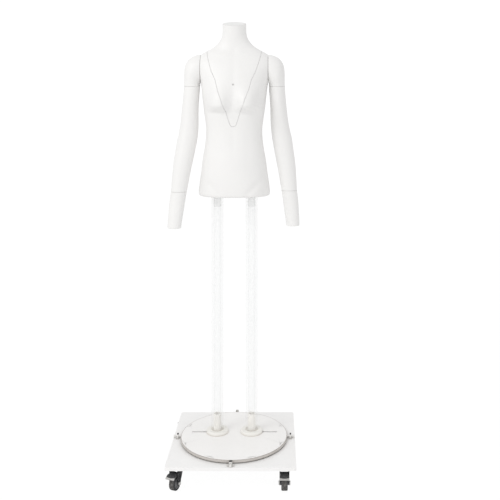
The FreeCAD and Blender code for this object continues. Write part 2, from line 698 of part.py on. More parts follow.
# ---------------------------------------------------------------- legs
def build_leg(name, side):
    x = side * dim("leg_spacing")
    foot_z = disc_top_z
    foot_top_z = foot_z + dim("foot_thick")
    flange_z = dim("torso_base") - dim("top_flange_thick")

    def rod(part, radius_expr, height_expr, z):
        return bound_cylinder("%s_%s" % (part, name), radius_expr, height_expr, x, leg_y, z)

    # foot: bored disc with a rounded top edge
    disc = rod("foot_disc", "Dims.foot_radius", "Dims.foot_thick", foot_z)
    hole = rod("foot_hole", "Dims.clamp_bolt", "Dims.foot_thick + 2", foot_z - 1)
    bored = cut("foot_bored_" + name, disc, hole)
    doc.recompute()
    rounding = 1.6
    foot = doc.addObject("Part::Fillet", "leg_foot_" + name)
    foot.Base = bored
    foot.Edges = [(i, rounding, rounding) for i, e in enumerate(bored.Shape.Edges, 1)
                  if e.BoundBox.ZMin > foot_top_z - 0.01 and e.BoundBox.XLength > 60]
    add_node(foot, "leg_foot_" + name)

    # stub: cup standing on the foot, inside the tube
    outer = rod("stub_outer", "Dims.stub_radius", "Dims.stub_top - (%s)" % FOOT_TOP, foot_top_z)
    inner = rod("stub_inner", "Dims.stub_radius - Dims.stub_wall", "Dims.stub_top",
                foot_top_z + dim("stub_floor"))
    hole = rod("stub_hole", "Dims.clamp_bolt", "30", foot_z)
    stub = cut("leg_stub_" + name, cut("stub_bored_" + name, outer, inner), hole)
    add_node(stub, "leg_stub_" + name)

    tube_length = "Dims.torso_base - Dims.top_flange_thick - (%s)" % FOOT_TOP
    outer = rod("tube_outer", "Dims.tube_radius", tube_length, foot_top_z)
    inner = rod("tube_inner", "Dims.tube_bore", tube_length + " + 20", foot_top_z - 10)
    add_node(cut("leg_tube_" + name, outer, inner), "leg_tube_" + name)

    # cap: flange under the torso, plug down into the tube, pin up into the torso
    flange = rod("top_plate", "Dims.top_flange_radius", "Dims.top_flange_thick", flange_z)
    plug = rod("top_plug", "Dims.stub_radius", "Dims.top_plug_length",
               flange_z - dim("top_plug_length"))
    pin = rod("top_pin", "Dims.pin_radius", "Dims.pin_height",
              flange_z + dim("top_flange_thick"))
    add_node(fuse("leg_cap_" + name, flange, plug, pin), "leg_cap_" + name)

    # clamp bolt: head in the wide slot under the disc, shank up through the foot
    head = rod("clamp_head", "Dims.clamp_head", "Dims.clamp_head_thick", disc_under_z + 1.0)
    shank = rod("clamp_shank", "Dims.clamp_bolt", "Dims.clamp_length", disc_under_z + 4.0)
    add_node(fuse("leg_clamp_" + name, head, shank), "leg_clamp_" + name)


def build_legs():
    for name, side in SIDES:
        build_leg(name, side)
    doc.recompute()


# ---------------------------------------------------------------- torso surface
# station: z, half width, front y, back y, y of the widest point, roundness exponent
TORSO = [
    (1095.0, 140.0, -86.0, 118.0, 20.0, 2.25),
    (1097.5, 144.5, -90.0, 122.5, 20.0, 2.25),
    (1102.0, 147.3, -93.0, 126.0, 20.0, 2.25),
    (1113.0, 147.6, -94.5, 127.5, 20.0, 2.25),
    (1132.0, 145.6, -95.5, 126.5, 20.0, 2.25),
    (1159.0, 142.0, -95.5, 121.0, 19.0, 2.25),
    (1200.0, 136.0, -93.0, 108.0, 16.0, 2.25),
    (1241.0, 131.0, -88.0, 96.0, 12.0, 2.25),
    (1283.0, 123.5, -82.5, 88.5, 9.0, 2.25),
    (1324.0, 117.5, -78.5, 85.0, 8.0, 2.25),
    (1365.0, 115.8, -77.0, 86.0, 9.0, 2.25),
    (1406.0, 120.0, -79.0, 91.5, 12.0, 2.25),
    (1448.0, 126.0, -82.0, 98.0, 16.0, 2.30),
    (1489.0, 131.0, -84.0, 104.0, 20.0, 2.35),
    (1520.0, 134.0, -82.0, 107.0, 22.0, 2.40),
    (1545.0, 137.0, -78.5, 108.5, 22.5, 2.40),
    (1572.0, 141.5, -73.0, 108.5, 22.5, 2.40),
    (1600.0, 152.0, -65.5, 106.0, 23.0, 2.35),
    (1625.0, 162.0, -56.0, 101.0, 23.5, 2.30),
    (1645.0, 164.0, -46.0, 95.0, 24.5, 2.20),
    (1660.0, 158.0, -37.5, 89.5, 25.5, 2.10),
    (1672.0, 148.0, -30.5, 84.5, 26.5, 2.00),
    (1682.0, 135.0, -24.5, 80.0, 27.5, 1.90),
    (1691.0, 118.0, -19.5, 76.5, 28.0, 1.85),
    (1700.0, 100.0, -15.5, 73.5, 28.5, 1.85),
    (1710.0, 84.5, -13.0, 71.5, 29.0, 1.90),
    (1722.0, 71.0, -12.0, 70.0, 29.0, 1.95),
    (1736.0, 60.0, -13.0, 69.0, 28.0, 2.00),
    (1752.0, 52.4, -16.0, 67.0, 25.5, 2.00),
    (1770.0, 49.6, -20.5, 64.0, 21.7, 2.00),
    (1790.0, 49.3, -26.0, 60.5, 17.2, 2.00),
    (1825.0, 49.5, -35.5, 54.0, 9.2, 2.00),
]


def spline_eval(xs, ys, x):
    # cubic Hermite through uneven knots, slopes limited so that it does not overshoot
    last = len(xs) - 1
    if x <= xs[0]:
        return ys[0]
    if x >= xs[-1]:
        return ys[-1]
    i = 0
    while xs[i + 1] < x:
        i += 1

    def chord(k):
        return (ys[k + 1] - ys[k]) / (xs[k + 1] - xs[k])

    def slope(k):
        if k == 0:
            return chord(0)
        if k == last:
            return chord(last - 1)
        before, after = chord(k - 1), chord(k)
        if before * after <= 0:
            return 0.0
        width_before, width_after = xs[k] - xs[k - 1], xs[k + 1] - xs[k]
        mean = (before * width_after + after * width_before) / (width_before + width_after)
        limit = 3 * min(abs(before), abs(after))
        return max(-limit, min(limit, mean))

    step = xs[i + 1] - xs[i]
    t = (x - xs[i]) / step
    return ((2 * t ** 3 - 3 * t ** 2 + 1) * ys[i]
            + (t ** 3 - 2 * t ** 2 + t) * slope(i) * step
            + (-2 * t ** 3 + 3 * t ** 2) * ys[i + 1]
            + (t ** 3 - t ** 2) * slope(i + 1) * step)


def interpolate_row(table, position):
    # first column is the position, the result holds the other columns
    positions, *columns = zip(*table)
    return [spline_eval(positions, column, position) for column in columns]


def bust_depth(x, z):
    # forward bulge at each side of the chest, softer above than below
    above_centre = z - 1476.0
    spread = 56.0 if above_centre > 0 else 34.0
    by_height = exp(-(above_centre / spread) ** 2)
    by_width = exp(-((abs(x) - 66.0) / 33.0) ** 2) + 0.15 * exp(-(x / 30.0) ** 2)
    return 30.0 * by_width * by_height


def torso_point(angle, z):
    # angle 0 is +X, a quarter turn is the back
    half_width, front_y, back_y, widest_y, roundness = interpolate_row(TORSO, z)
    across, along = cos(angle), sin(angle)
    power = 2.0 / roundness
    x = half_width * (abs(across) ** power) * (1 if across >= 0 else -1)
    depth = (back_y - widest_y) if along >= 0 else (widest_y - front_y)
    y = widest_y + depth * (abs(along) ** power) * (1 if along >= 0 else -1)
    if along < 0:
        y -= bust_depth(x, z) * min(1.0, -along * 1.6)
    else:
        # hollow along the spine
        y -= 5.0 * exp(-(x / 15.0) ** 2) * exp(-((z - 1420.0) / 150.0) ** 2) * along
    return x, y


def torso_outline(z, inset=0.0, count=48):
    points = [torso_point(2 * pi * (k + 0.5) / count, z) for k in range(count)]
    if not inset:
        return points
    moved = []
    for k, (x, y) in enumerate(points):
        before, after = points[k - 1], points[(k + 1) % count]
        run_x, run_y = after[0] - before[0], after[1] - before[1]
        length = hypot(run_x, run_y)
        moved.append((x - run_y / length * inset, y + run_x / length * inset))
    return moved


def closed_spline(points):
    count = len(points)
    curve = Part.BSplineCurve()
    curve.interpolate(Points=points, PeriodicFlag=True,
                      Parameters=[i / float(count) for i in range(count + 1)])
    return Part.Wire([curve.toShape()])


def outward(solid):
    if solid.Volume < 0:
        solid.reverse()
    return solid


def smooth_loft(wires):
    return outward(Part.makeLoft(wires, True, False, False))


def strip_loft(wires):
    # neighbouring sections joined by ruled strips, closed by flat ends and sewn
    faces = []
    for lower, upper in zip(wires, wires[1:]):
        faces += Part.makeLoft([lower, upper], False, True, False).Faces
    faces += [Part.Face(wires[0]), Part.Face(wires[-1])]
    shell = Part.makeShell(faces)
    shell.sewShape()
    return outward(Part.makeSolid(shell if shell.ShapeType == "Shell" else shell.Shells[0]))


def torso_loft(levels, inset=0.0):
    return smooth_loft([closed_spline([Vector(x, y, z) for x, y in torso_outline(z, inset)])
                        for z in levels])


def spaced(start, end, step):
    # even spacing close to the step, both ends included
    count = max(1, int(round((end - start) / step)))
    return [start + (end - start) * i / count for i in range(count + 1)]


# ---------------------------------------------------------------- torso and neck insert
NECK_LEVELS = [1752.0, 1770.0, 1790.0, 1825.0]
TORSO_LEVELS = ([1095.0, 1097.5, 1102.0, 1113.0] + spaced(1128, 1398, 30)
                + spaced(1412, 1652, 15) + spaced(1662, 1742, 8) + NECK_LEVELS)
CAP_LEVELS = [1740.0] + NECK_LEVELS

# seams of the neck insert on the front and on the back: half width, z
FRONT_SEAM = [
    (0.0, 1380.0), (6.0, 1381.6), (11.5, 1387.0), (15.0, 1395.0), (21.0, 1413.0),
    (27.5, 1435.0), (37.7, 1459.0), (50.0, 1495.0), (62.0, 1526.0), (75.0, 1572.0),
    (90.0, 1604.0), (100.0, 1636.0), (109.0, 1668.0), (115.0, 1702.0), (118.0, 1900.0),
]
BACK_SEAM = [
    (0.0, 1596.0), (20.0, 1597.5), (40.0, 1603.0), (60.0, 1615.0), (78.0, 1632.0),
    (93.0, 1650.0), (104.0, 1668.0), (115.0, 1702.0), (118.0, 1900.0),
]

# x, y of the screws that hold the hip plate
HIP_SCREWS = [(-60, -45), (0, -55), (60, -45), (-60, 72), (0, 82), (60, 72)]


def seam_face(seam, offset):
    # face above the seam curve in the XZ plane, the curve moved outward by the offset
    right = [(0.0, seam[0][1] - offset)]
    for k in range(1, len(seam)):
        before, after = seam[k - 1], seam[min(len(seam) - 1, k + 1)]
        run_x, run_z = after[0] - before[0], after[1] - before[1]
        length = hypot(run_x, run_z)
        right.append((seam[k][0] + run_z / length * offset,
                      seam[k][1] - run_x / length * offset))
    points = [Vector(-x, 0, z) for x, z in reversed(right[1:])]
    points += [Vector(x, 0, z) for x, z in right]
    curve = Part.BSplineCurve()
    curve.interpolate(points)
    return Part.Face(Part.Wire([curve.toShape(), Part.makeLine(points[-1], points[0])]))


def insert_regions(offset):
    # space of the insert in front of and behind the shoulder line
    reach = 400
    front = seam_face(FRONT_SEAM, offset)
    front.translate(Vector(0, -reach, 0))
    back = seam_face(BACK_SEAM, offset)
    back.translate(Vector(0, shoulder_y, 0))
    return (front.extrude(Vector(0, reach + shoulder_y, 0)),
            back.extrude(Vector(0, reach, 0)))


def tilt_to_neck(solid):
    # lays the XY plane in the slanted plane of the neck top
    solid.rotate(ORIGIN, X_AXIS, dim("neck_tilt"))
    solid.translate(Vector(0, dim("neck_back"), dim("torso_top")))
    return solid


def side_slab(half):
    # flat shoulder sides start above the waist; the hips keep their full width
    return box(2 * half, 800, 800, -half, -400, 1400).fuse(
        box(600, 800, 400, -300, -400, 1000))


def hollow_torso():
    # the full outer solid, and the shell with flat sides and a slanted neck top
    outer = torso_loft(TORSO_LEVELS)
    inner_levels = [hip_floor_z]
    inner_levels += [z for z in TORSO_LEVELS if hip_floor_z + 4 < z < 1820]
    inner = torso_loft(inner_levels + [1830.0], dim("shell_wall"))
    above_neck = tilt_to_neck(box(600, 800, 400, -300, -400, 0))
    trimmed = outer.common(side_slab(torso_side_x)).cut(above_neck)
    return outer, trimmed.cut(inner.common(side_slab(torso_side_x - 5)))


def pin_slot(side, z, height=30):
    # slot that lets the leg pin move outward
    radius = dim("pin_radius") + 0.3
    start_x = side * dim("leg_spacing")
    end_x = side * (dim("leg_spacing") + dim("leg_travel") + 0.5)
    slot = cylinder(radius, height, start_x, leg_y, z).fuse(
        cylinder(radius, height, end_x, leg_y, z))
    return slot.fuse(box(abs(end_x - start_x), 2 * radius, height,
                         min(start_x, end_x), leg_y - radius, z))


def build_torso_shell(shell):
    front, back = insert_regions(half_gap)
    torso = largest(shell.cut(front).cut(back))
    for name, side in SIDES:
        torso = torso.cut(pin_slot(side, dim("torso_base") - 5))
    for x, y in HIP_SCREWS:
        torso = torso.cut(cylinder(1.6, 20, x, y, hip_floor_z - 4.0))
    # shoulder socket holes
    for name, side in SIDES:
        torso = torso.cut(cylinder(20.0, 12, side * (dim("seam_half") + 2),
                                   shoulder_y, shoulder_z, Vector(-side, 0, 0)))
    shape_node("torso_shell", largest(torso))


def build_hip_plate():
    # sits on the torso floor
    thick = dim("hip_plate_thick")
    outline = torso_outline(hip_floor_z + 0.5, dim("shell_wall") + 6.0)
    wire = closed_spline([Vector(x, y, hip_floor_z) for x, y in outline])
    plate = Part.Face(wire).extrude(Vector(0, 0, thick))
    for name, side in SIDES:
        plate = plate.cut(pin_slot(side, hip_floor_z - 5))
    for x, y in HIP_SCREWS:
        plate = plate.cut(cylinder(1.8, 20, x, y, hip_floor_z - 4.0))
    shape_node("torso_hip_plate", plate)
    screws = [round_screw(x, y, hip_floor_z + thick, head=(3.4, 2.2, 0.8),
                          shank=(1.5, thick + 3.5)) for x, y in HIP_SCREWS]
    shape_node("torso_plate_screws", Part.makeCompound(screws))


def build_shoulder_sockets():
    # flanged cups let into the torso sides
    cups = []
    for name, side in SIDES:
        def inward(radius, height, x):
            return cylinder(radius, height, x, shoulder_y, shoulder_z, Vector(-side, 0, 0))

        side_x = side * torso_side_x
        cup = inward(19.95, 5.0, side_x).fuse(inward(14, 20, side_x)).removeSplitter()
        cups.append(cup.cut(inward(dim("arm_bore"), 16, side_x + side * 1)))
    shape_node("shoulder_sockets", Part.makeCompound(cups))


def cap_slab():
    slab = tilt_to_neck(box(400, 400, dim("cap_thick"), -200, -200, 0))
    tilt, sink = radians(dim("neck_tilt")), dim("cap_sink")
    slab.translate(Vector(0, sin(tilt) * sink, -cos(tilt) * sink))
    return slab


def chest_y_at_button():
    # foremost of three points close to the middle of the chest
    return min(torso_point(-pi / 2 + turn, dim("button_height"))[1]
               for turn in (-0.02, 0.0, 0.02))


def build_neck_insert(outer, shell):
    front, back = insert_regions(-half_gap)
    insert = largest(shell.common(front).fuse(shell.common(back)).removeSplitter())

    # hook tab at the tip of the front seam, inside the chest wall
    gap = 1.6
    chest_y = torso_point(-pi / 2, 1395.0)[1]
    tab = box(20, 4, 52, -10, chest_y + dim("shell_wall") + gap, 1354)
    tab = tab.fuse(box(20, 7.0, 14, -10, chest_y + gap, 1392))
    insert = insert.fuse(tab.cut(front.cut(outer))).removeSplitter()

    insert = insert.cut(cylinder(dim("button_bore"), 20, 0, chest_y_at_button() - 8,
                                 dim("button_height"), Y_AXIS))
    insert = largest(insert)
    # seat of the neck cap
    insert = insert.cut(torso_loft(CAP_LEVELS, 1.95).common(cap_slab()))
    shape_node("neck_insert", largest(insert))


def build_neck_cap():
    # elliptical plate in the slanted plane of the neck top
    shape_node("neck_cap", largest(torso_loft(CAP_LEVELS, 2.0).common(cap_slab())))


def build_release_button():
    # button with an inner collar behind the wall
    chest_y, z = chest_y_at_button(), dim("button_height")
    button = cylinder(dim("button_radius"), 12, 0, chest_y - 0.5, z, Y_AXIS)
    button = button.makeFillet(0.8, [e for e in button.Edges
                                     if e.BoundBox.YMax < chest_y - 0.4])
    collar = cylinder(7.0, 2.0, 0, chest_y + 8.0, z, Y_AXIS)
    shape_node("release_button", button.fuse(collar).removeSplitter())


def build_torso():
    outer, shell = hollow_torso()
    build_torso_shell(shell)
    build_hip_plate()
    build_shoulder_sockets()
    build_neck_insert(outer, shell)
    build_neck_cap()
    build_release_button()


# ---------------------------------------------------------------- arms
# station: z, distance of the centre from X 0, half width, half depth, centre y before the lean
ARM = [
    (965.0, 241.5, 24.6, 24.0, -40.5),
    (994.0, 240.0, 26.0, 25.0, -36.5),
    (1035.0, 236.0, 28.2, 26.5, -30.5),
    (1076.0, 232.0, 29.4, 28.5, -24.0),
    (1118.0, 226.5, 30.4, 31.0, -17.5),
    (1159.0, 222.0, 32.8, 33.5, -11.0),
    (1200.0, 217.0, 35.0, 36.0, -4.5),
    (1241.0, 211.0, 37.0, 38.5, 2.0),
    (1283.0, 204.0, 38.3, 40.0, 8.0),
    (1324.0, 198.0, 39.6, 39.5, 13.0),
    (1365.0, 191.0, 37.3, 38.5, 17.5),
    (1406.0, 186.0, 35.5, 38.0, 20.5),
    (1448.0, 183.0, 34.3, 37.5, 22.0),
    (1489.0, 180.0, 33.2, 37.5, 22.5),
    (1544.0, 176.0, 33.0, 38.0, 22.0),
]

# The shoulder cap is a fan of sections that turn about a pivot line along Y,
# from upright in the seam plane (angle 0) towards level (angle 90).
PIVOT_X, PIVOT_Z = 138.5, 1549.0
FAN_ANGLES = (0, 5, 10, 15, 20, 25, 30, 36, 42, 48, 54, 60, 67, 74, 82)
# angle, distance of the outer skin from the pivot
FAN_OUTER = [
    (0.0, 129.0), (10.5, 121.5), (23.0, 115.5), (36.5, 100.0),
    (50.0, 84.5), (63.0, 76.0), (77.0, 71.5), (90.0, 70.5),
]
ARM_POINTS = 32
ARM_ANGLES = [2 * pi * (k + 0.5) / ARM_POINTS for k in range(ARM_POINTS)]
# the right arm leans back as it goes down, the left arm forward
lean_rate = tan(radians(dim("arm_lean")))
arm_wall = dim("arm_wall")


def arm_section(z, side):
    # centre x, centre y, half width, half depth
    centre_x, half_width, half_depth, centre_y = interpolate_row(ARM, z)
    centre_y += lean_rate * (shoulder_z - z) * side
    return side * centre_x, centre_y, half_width, half_depth


def arm_wire(z, side, inset=0.0):
    x, y, half_width, half_depth = arm_section(z, side)
    return closed_spline([Vector(x + side * (half_width - inset) * cos(a),
                                 y + (half_depth - inset) * sin(a), z) for a in ARM_ANGLES])


def arm_loft(levels, side, inset=0.0):
    return smooth_loft([arm_wire(z, side, inset) for z in levels])


def side_crossings(z):
    # y values where the torso section crosses the flat side plane
    steps = 240
    points = [torso_point(-pi / 2 + pi * k / steps, z) for k in range(steps + 1)]
    crossings = []
    for (x, y), (next_x, next_y) in zip(points, points[1:]):
        if (x - torso_side_x) * (next_x - torso_side_x) <= 0 and x != next_x:
            t = (torso_side_x - x) / (next_x - x)
            crossings.append(y + t * (next_y - y))
    return crossings


def armhole_outline():
    # (y, z) outline of the torso side in the seam plane, found by bisection along rays
    outline = []
    for a in ARM_ANGLES:
        low, high = 0.0, 120.0
        for step in range(26):
            middle = (low + high) / 2
            y = shoulder_y + cos(a) * middle
            crossings = side_crossings(shoulder_z + sin(a) * middle)
            if len(crossings) >= 2 and min(crossings) <= y <= max(crossings):
                low = middle
            else:
                high = middle
        outline.append((shoulder_y + cos(a) * low, shoulder_z + sin(a) * low))
    return outline


def fan_wire(angle, side, armhole, inset):
    outer, = interpolate_row(FAN_OUTER, angle)
    t = angle / 90.0
    inner = 6.0 * (1 - t) + 4.5 * t
    centre = (outer + inner) / 2
    half_height = (outer - inner) / 2 - inset
    half_depth = 58.0 + (38.0 - 58.0) * (t ** 0.8) - inset
    # the ellipse blends into the armhole outline towards the seam
    blend = (1 - t) ** 3
    turn = radians(angle)
    points = []
    for a, (hole_y, hole_z) in zip(ARM_ANGLES, armhole):
        hole_radius = hole_z - PIVOT_Z - inset * sin(a)
        radius = (centre + half_height * sin(a)) * (1 - blend) + hole_radius * blend
        y = ((shoulder_y + half_depth * cos(a)) * (1 - blend)
             + (hole_y - inset * cos(a)) * blend)
        x = arm_side_x if angle == 0 else PIVOT_X + radius * sin(turn)
        z = PIVOT_Z + radius * cos(turn)
        y += lean_rate * side * max(0.0, shoulder_z - z) * t
        points.append(Vector(side * x, y, z))
    return closed_spline(points)


def shoulder_solid(side, armhole, inset, end_z):
    # fan of sections closed by a level section of the upper arm
    x, y, half_width, half_depth = arm_section(dim("elbow_seam"), side)
    level = closed_spline([Vector(x + side * (half_width - inset) * sin(a),
                                  y + (half_depth - inset) * cos(a), end_z)
                           for a in ARM_ANGLES])
    return strip_loft([fan_wire(angle, side, armhole, inset) for angle in FAN_ANGLES]
                      + [level])


def build_shoulder_cap(name, side, armhole):
    seam = dim("elbow_seam")
    end_z = seam + half_gap
    outer = shoulder_solid(side, armhole, 0.0, end_z)
    inner = shoulder_solid(side, armhole, arm_wall, end_z + arm_wall)
    # leave a wall against the torso side
    wall_x = arm_side_x + arm_wall + 1
    inner = inner.common(box(200, 400, 400, wall_x if side > 0 else -wall_x - 200, -200, 1400))
    piece = largest(outer.cut(inner))
    # peg into the torso socket
    away = Vector(side, 0, 0)
    peg = cylinder(dim("arm_peg"), 20.0, side * (arm_side_x - 12.0), shoulder_y, shoulder_z,
                   away)
    boss = cylinder(16, 8.0, side * arm_side_x, shoulder_y, shoulder_z, away)
    piece = piece.fuse([peg, boss]).removeSplitter()
    # socket for the peg of the arm
    x, y = arm_section(seam, side)[:2]
    piece = piece.fuse(cylinder(14, 18, x, y, end_z)).removeSplitter()
    piece = piece.cut(cylinder(dim("arm_bore"), 15, x, y, seam - 1))
    shape_node("shoulder_cap_" + name, largest(piece))


def add_top_peg(piece, seam, side):
    # peg through the top wall, standing up into the piece above
    x, y = arm_section(seam, side)[:2]
    peg = cylinder(dim("arm_peg"), 4 + 12.0, x, y, seam - half_gap - 4.0)
    return piece.fuse(peg).removeSplitter()


def build_arm(name, side):
    # between the elbow seam and the wrist seam
    wrist = dim("wrist_seam")
    bottom, top = wrist + half_gap, dim("elbow_seam") - half_gap
    middle = spaced(1150, 1520, 37)
    outer = arm_loft([bottom] + middle + [top], side)
    inner = arm_loft([bottom + arm_wall] + middle + [top - arm_wall], side, arm_wall)
    arm = add_top_peg(outer.cut(inner), dim("elbow_seam"), side)
    # socket for the peg of the forearm end
    x, y = arm_section(wrist, side)[:2]
    arm = arm.fuse(cylinder(13, 18, x, y, bottom)).removeSplitter()
    arm = arm.cut(cylinder(dim("arm_bore"), 15, x, y, bottom - 1))
    shape_node("arm_" + name, largest(arm))


def build_forearm_end(name, side):
    bottom, top = dim("arm_end"), dim("wrist_seam") - half_gap
    edge = 1.2
    middle = spaced(990, 1090, 33)
    # the lowest section is drawn in to ease the bottom edge
    wires = [arm_wire(bottom, side, edge)]
    wires += [arm_wire(z, side) for z in [bottom + edge] + middle + [top]]
    outer = smooth_loft(wires)
    inner = arm_loft([bottom + arm_wall] + middle + [top - arm_wall], side, arm_wall)
    end = add_top_peg(outer.cut(inner), dim("wrist_seam"), side)
    shape_node("forearm_end_" + name, largest(end))


def build_arms():
    armhole = armhole_outline()
    for name, side in SIDES:
        build_shoulder_cap(name, side, armhole)
        build_arm(name, side)
        build_forearm_end(name, side)


# ---------------------------------------------------------------- build, check and export
def report_problems():
    for obj in doc.Objects:
        if "Invalid" in obj.State or "Error" in obj.State:
            print("%s state %s" % (obj.Name, obj.State))
    for obj in nodes:
        if obj.Shape.isNull() or not obj.Shape.isValid():
            print("%s shape is null or not valid" % obj.Label)


build_base_board()
build_turntable_disc()
build_edge_band()
build_bearing()
build_disc_screws()
build_index_stops()
build_index_stop_screws()
build_index_pins()
build_casters()
build_legs()
build_torso()
build_arms()
doc.recompute()

report_problems()
os.makedirs("parts", exist_ok=True)
for obj in nodes:
    obj.Shape.exportStep("parts/%s.step" % obj.Label)
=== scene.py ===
import math
import bpy
import numpy as np
from mathutils import Vector, Matrix


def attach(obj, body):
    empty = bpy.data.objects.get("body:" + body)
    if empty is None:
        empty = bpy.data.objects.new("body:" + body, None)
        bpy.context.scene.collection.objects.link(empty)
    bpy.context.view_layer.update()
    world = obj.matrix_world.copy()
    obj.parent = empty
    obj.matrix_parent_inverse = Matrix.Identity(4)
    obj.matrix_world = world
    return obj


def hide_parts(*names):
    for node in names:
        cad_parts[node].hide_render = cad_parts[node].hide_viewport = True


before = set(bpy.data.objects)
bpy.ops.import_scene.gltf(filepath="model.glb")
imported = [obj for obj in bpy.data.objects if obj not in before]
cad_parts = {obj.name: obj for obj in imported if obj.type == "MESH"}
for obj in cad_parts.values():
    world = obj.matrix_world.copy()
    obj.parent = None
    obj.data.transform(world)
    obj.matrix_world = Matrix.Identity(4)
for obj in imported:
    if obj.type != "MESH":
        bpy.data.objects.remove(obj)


def keep_size():
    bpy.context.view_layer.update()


keep_size()
MM = 0.001
pi = math.pi

# =============================================================== materials


def nodes_of(mat):
    mat.use_nodes = True
    nt = mat.node_tree
    return nt, nt.nodes, nt.links


def set_in(node, name, value):
    if name in node.inputs:
        node.inputs[name].default_value = value


def material(name, color, rough=0.45, metal=0.0, var=0.03, var_scale=6.0, bump=0.02, bump_scale=700.0, rough_var=0.06,
             spec=0.5, coat=0.0, sheen=0.0, stretch=None, sss=0.0, painted_shade=0.0, painted_shade_dist=0.01, painted_shade_color=None, second=None):
    """A procedural finish: slow colour drift, fine surface grain, uneven gloss, and painted shade that darkens corners,
    seams and contact lines where ambient occlusion finds nearby surfaces.
    """
    m = bpy.data.materials.new(name)
    nt, N, L = nodes_of(m)
    b = N["Principled BSDF"]
    tc = N.new("ShaderNodeTexCoord")
    mp = N.new("ShaderNodeMapping")
    L.new(tc.outputs["Object"], mp.inputs["Vector"])
    if stretch:
        mp.inputs["Scale"].default_value = stretch
    n1 = N.new("ShaderNodeTexNoise")
    n1.inputs["Scale"].default_value = var_scale
    n1.inputs["Detail"].default_value = 4
    L.new(tc.outputs["Object"], n1.inputs["Vector"])
    ramp = N.new("ShaderNodeValToRGB")
    c0 = [max(0, c * (1 - var)) for c in color]
    c1 = [min(1, c * (1 + var)) for c in color]
    ramp.color_ramp.elements[0].position = 0.3
    ramp.color_ramp.elements[1].position = 0.7
    ramp.color_ramp.elements[0].color = (*c0, 1)
    ramp.color_ramp.elements[1].color = (*c1, 1)
    L.new(n1.outputs["Fac"], ramp.inputs["Fac"])
    col = ramp.outputs["Color"]
    n2 = N.new("ShaderNodeTexNoise")
    n2.inputs["Scale"].default_value = bump_scale
    n2.inputs["Detail"].default_value = 3
    L.new(mp.outputs["Vector"], n2.inputs["Vector"])
    bp = N.new("ShaderNodeBump")
    bp.inputs["Strength"].default_value = bump
    bp.inputs["Distance"].default_value = 0.001
    L.new(n2.outputs["Fac"], bp.inputs["Height"])
    L.new(bp.outputs["Normal"], b.inputs["Normal"])
    mr = N.new("ShaderNodeMapRange")
    mr.inputs["To Min"].default_value = max(0.02, rough - rough_var)
    mr.inputs["To Max"].default_value = min(1.0, rough + rough_var)
    L.new(n2.outputs["Fac"], mr.inputs["Value"])
    L.new(mr.outputs["Result"], b.inputs["Roughness"])
    if second:
        n3 = N.new("ShaderNodeTexNoise")
        n3.inputs["Scale"].default_value = second[1]
        n3.inputs["Detail"].default_value = 6
        L.new(mp.outputs["Vector"], n3.inputs["Vector"])
        r3 = N.new("ShaderNodeMapRange")
        r3.inputs["From Min"].default_value = second[2]
        r3.inputs["From Max"].default_value = second[3]
        L.new(n3.outputs["Fac"], r3.inputs["Value"])
        mx = N.new("ShaderNodeMix")
        mx.data_type = "RGBA"
        L.new(r3.outputs["Result"], mx.inputs["Factor"])
        L.new(col, mx.inputs[6])
        mx.inputs[7].default_value = (*second[0], 1)
        col = mx.outputs[2]
    # painted shade: where ambient occlusion is low, in corners, seams and contact lines, the colour darkens towards the
    # shade colour
    if painted_shade:
        ao = N.new("ShaderNodeAmbientOcclusion")
        ao.samples = 8
        ao.inputs["Distance"].default_value = painted_shade_dist
        mx = N.new("ShaderNodeMix")
        mx.data_type = "RGBA"
        r3 = N.new("ShaderNodeMapRange")
        r3.inputs["From Min"].default_value = 0.35
        r3.inputs["From Max"].default_value = 0.95
        r3.inputs["To Min"].default_value = painted_shade
        r3.inputs["To Max"].default_value = 0.0
        L.new(ao.outputs["AO"], r3.inputs["Value"])
        L.new(r3.outputs["Result"], mx.inputs["Factor"])
        L.new(col, mx.inputs[6])
        mx.inputs[7].default_value = (*(painted_shade_color or [c * 0.45 for c in color]), 1)
        col = mx.outputs[2]
    L.new(col, b.inputs["Base Color"])
    set_in(b, "Metallic", metal)
    set_in(b, "Specular IOR Level", spec)
    set_in(b, "Coat Weight", coat)
    set_in(b, "Coat Roughness", 0.2)
    set_in(b, "Sheen Weight", sheen)
    if sss:
        set_in(b, "Subsurface Weight", sss)
        set_in(b, "Subsurface Radius", (0.010, 0.008, 0.006))
        set_in(b, "Subsurface Scale", 0.6)
    return m


MAT = {}
# the shade amount, reach and colour passed to the finishes below paint shade into their corners, seams and contact
# lines
MAT["body"] = material("satin_white_body", (0.885, 0.878, 0.868), 0.46, var=0.012, var_scale=3.0, bump=0.05, bump_scale=1500, rough_var=0.05,
                       spec=0.42, painted_shade=0.38, painted_shade_dist=0.004, painted_shade_color=(0.55, 0.53, 0.50))
MAT["board"] = material("board_laminate", (0.96, 0.952, 0.945), 0.38, var=0.015, var_scale=9, bump=0.05, bump_scale=900, painted_shade=0.32, painted_shade_dist=0.022, painted_shade_color=(0.50, 0.46, 0.42),
                        second=((0.92, 0.912, 0.90), 60.0, 0.62, 0.9))
MAT["disc"] = material("disc_laminate", (0.96, 0.948, 0.935), 0.36, var=0.02, var_scale=7, bump=0.05, bump_scale=900, painted_shade=0.35, painted_shade_dist=0.008, painted_shade_color=(0.62, 0.58, 0.53),
                       second=((0.915, 0.90, 0.88), 45.0, 0.62, 0.9))
MAT["steel"] = material("zinc_steel", (0.84, 0.83, 0.81), 0.34, metal=0.75, var=0.07, var_scale=80, bump=0.06, bump_scale=2500, rough_var=0.1, painted_shade=0.35, painted_shade_dist=0.002)
MAT["alu"] = material("brushed_aluminium", (0.90, 0.89, 0.87), 0.36, metal=0.55, var=0.05, var_scale=60, bump=0.08, bump_scale=1800, rough_var=0.1, painted_shade=0.45, painted_shade_dist=0.004,
                      stretch=(1, 1, 0.08))
MAT["ball"] = material("polished_steel", (0.80, 0.80, 0.81), 0.10, metal=1.0, var=0.02, bump=0.01, rough_var=0.03)
MAT["brass"] = material("stamped_brass", (0.70, 0.55, 0.28), 0.35, metal=1.0, var=0.08, bump=0.06, bump_scale=1600)
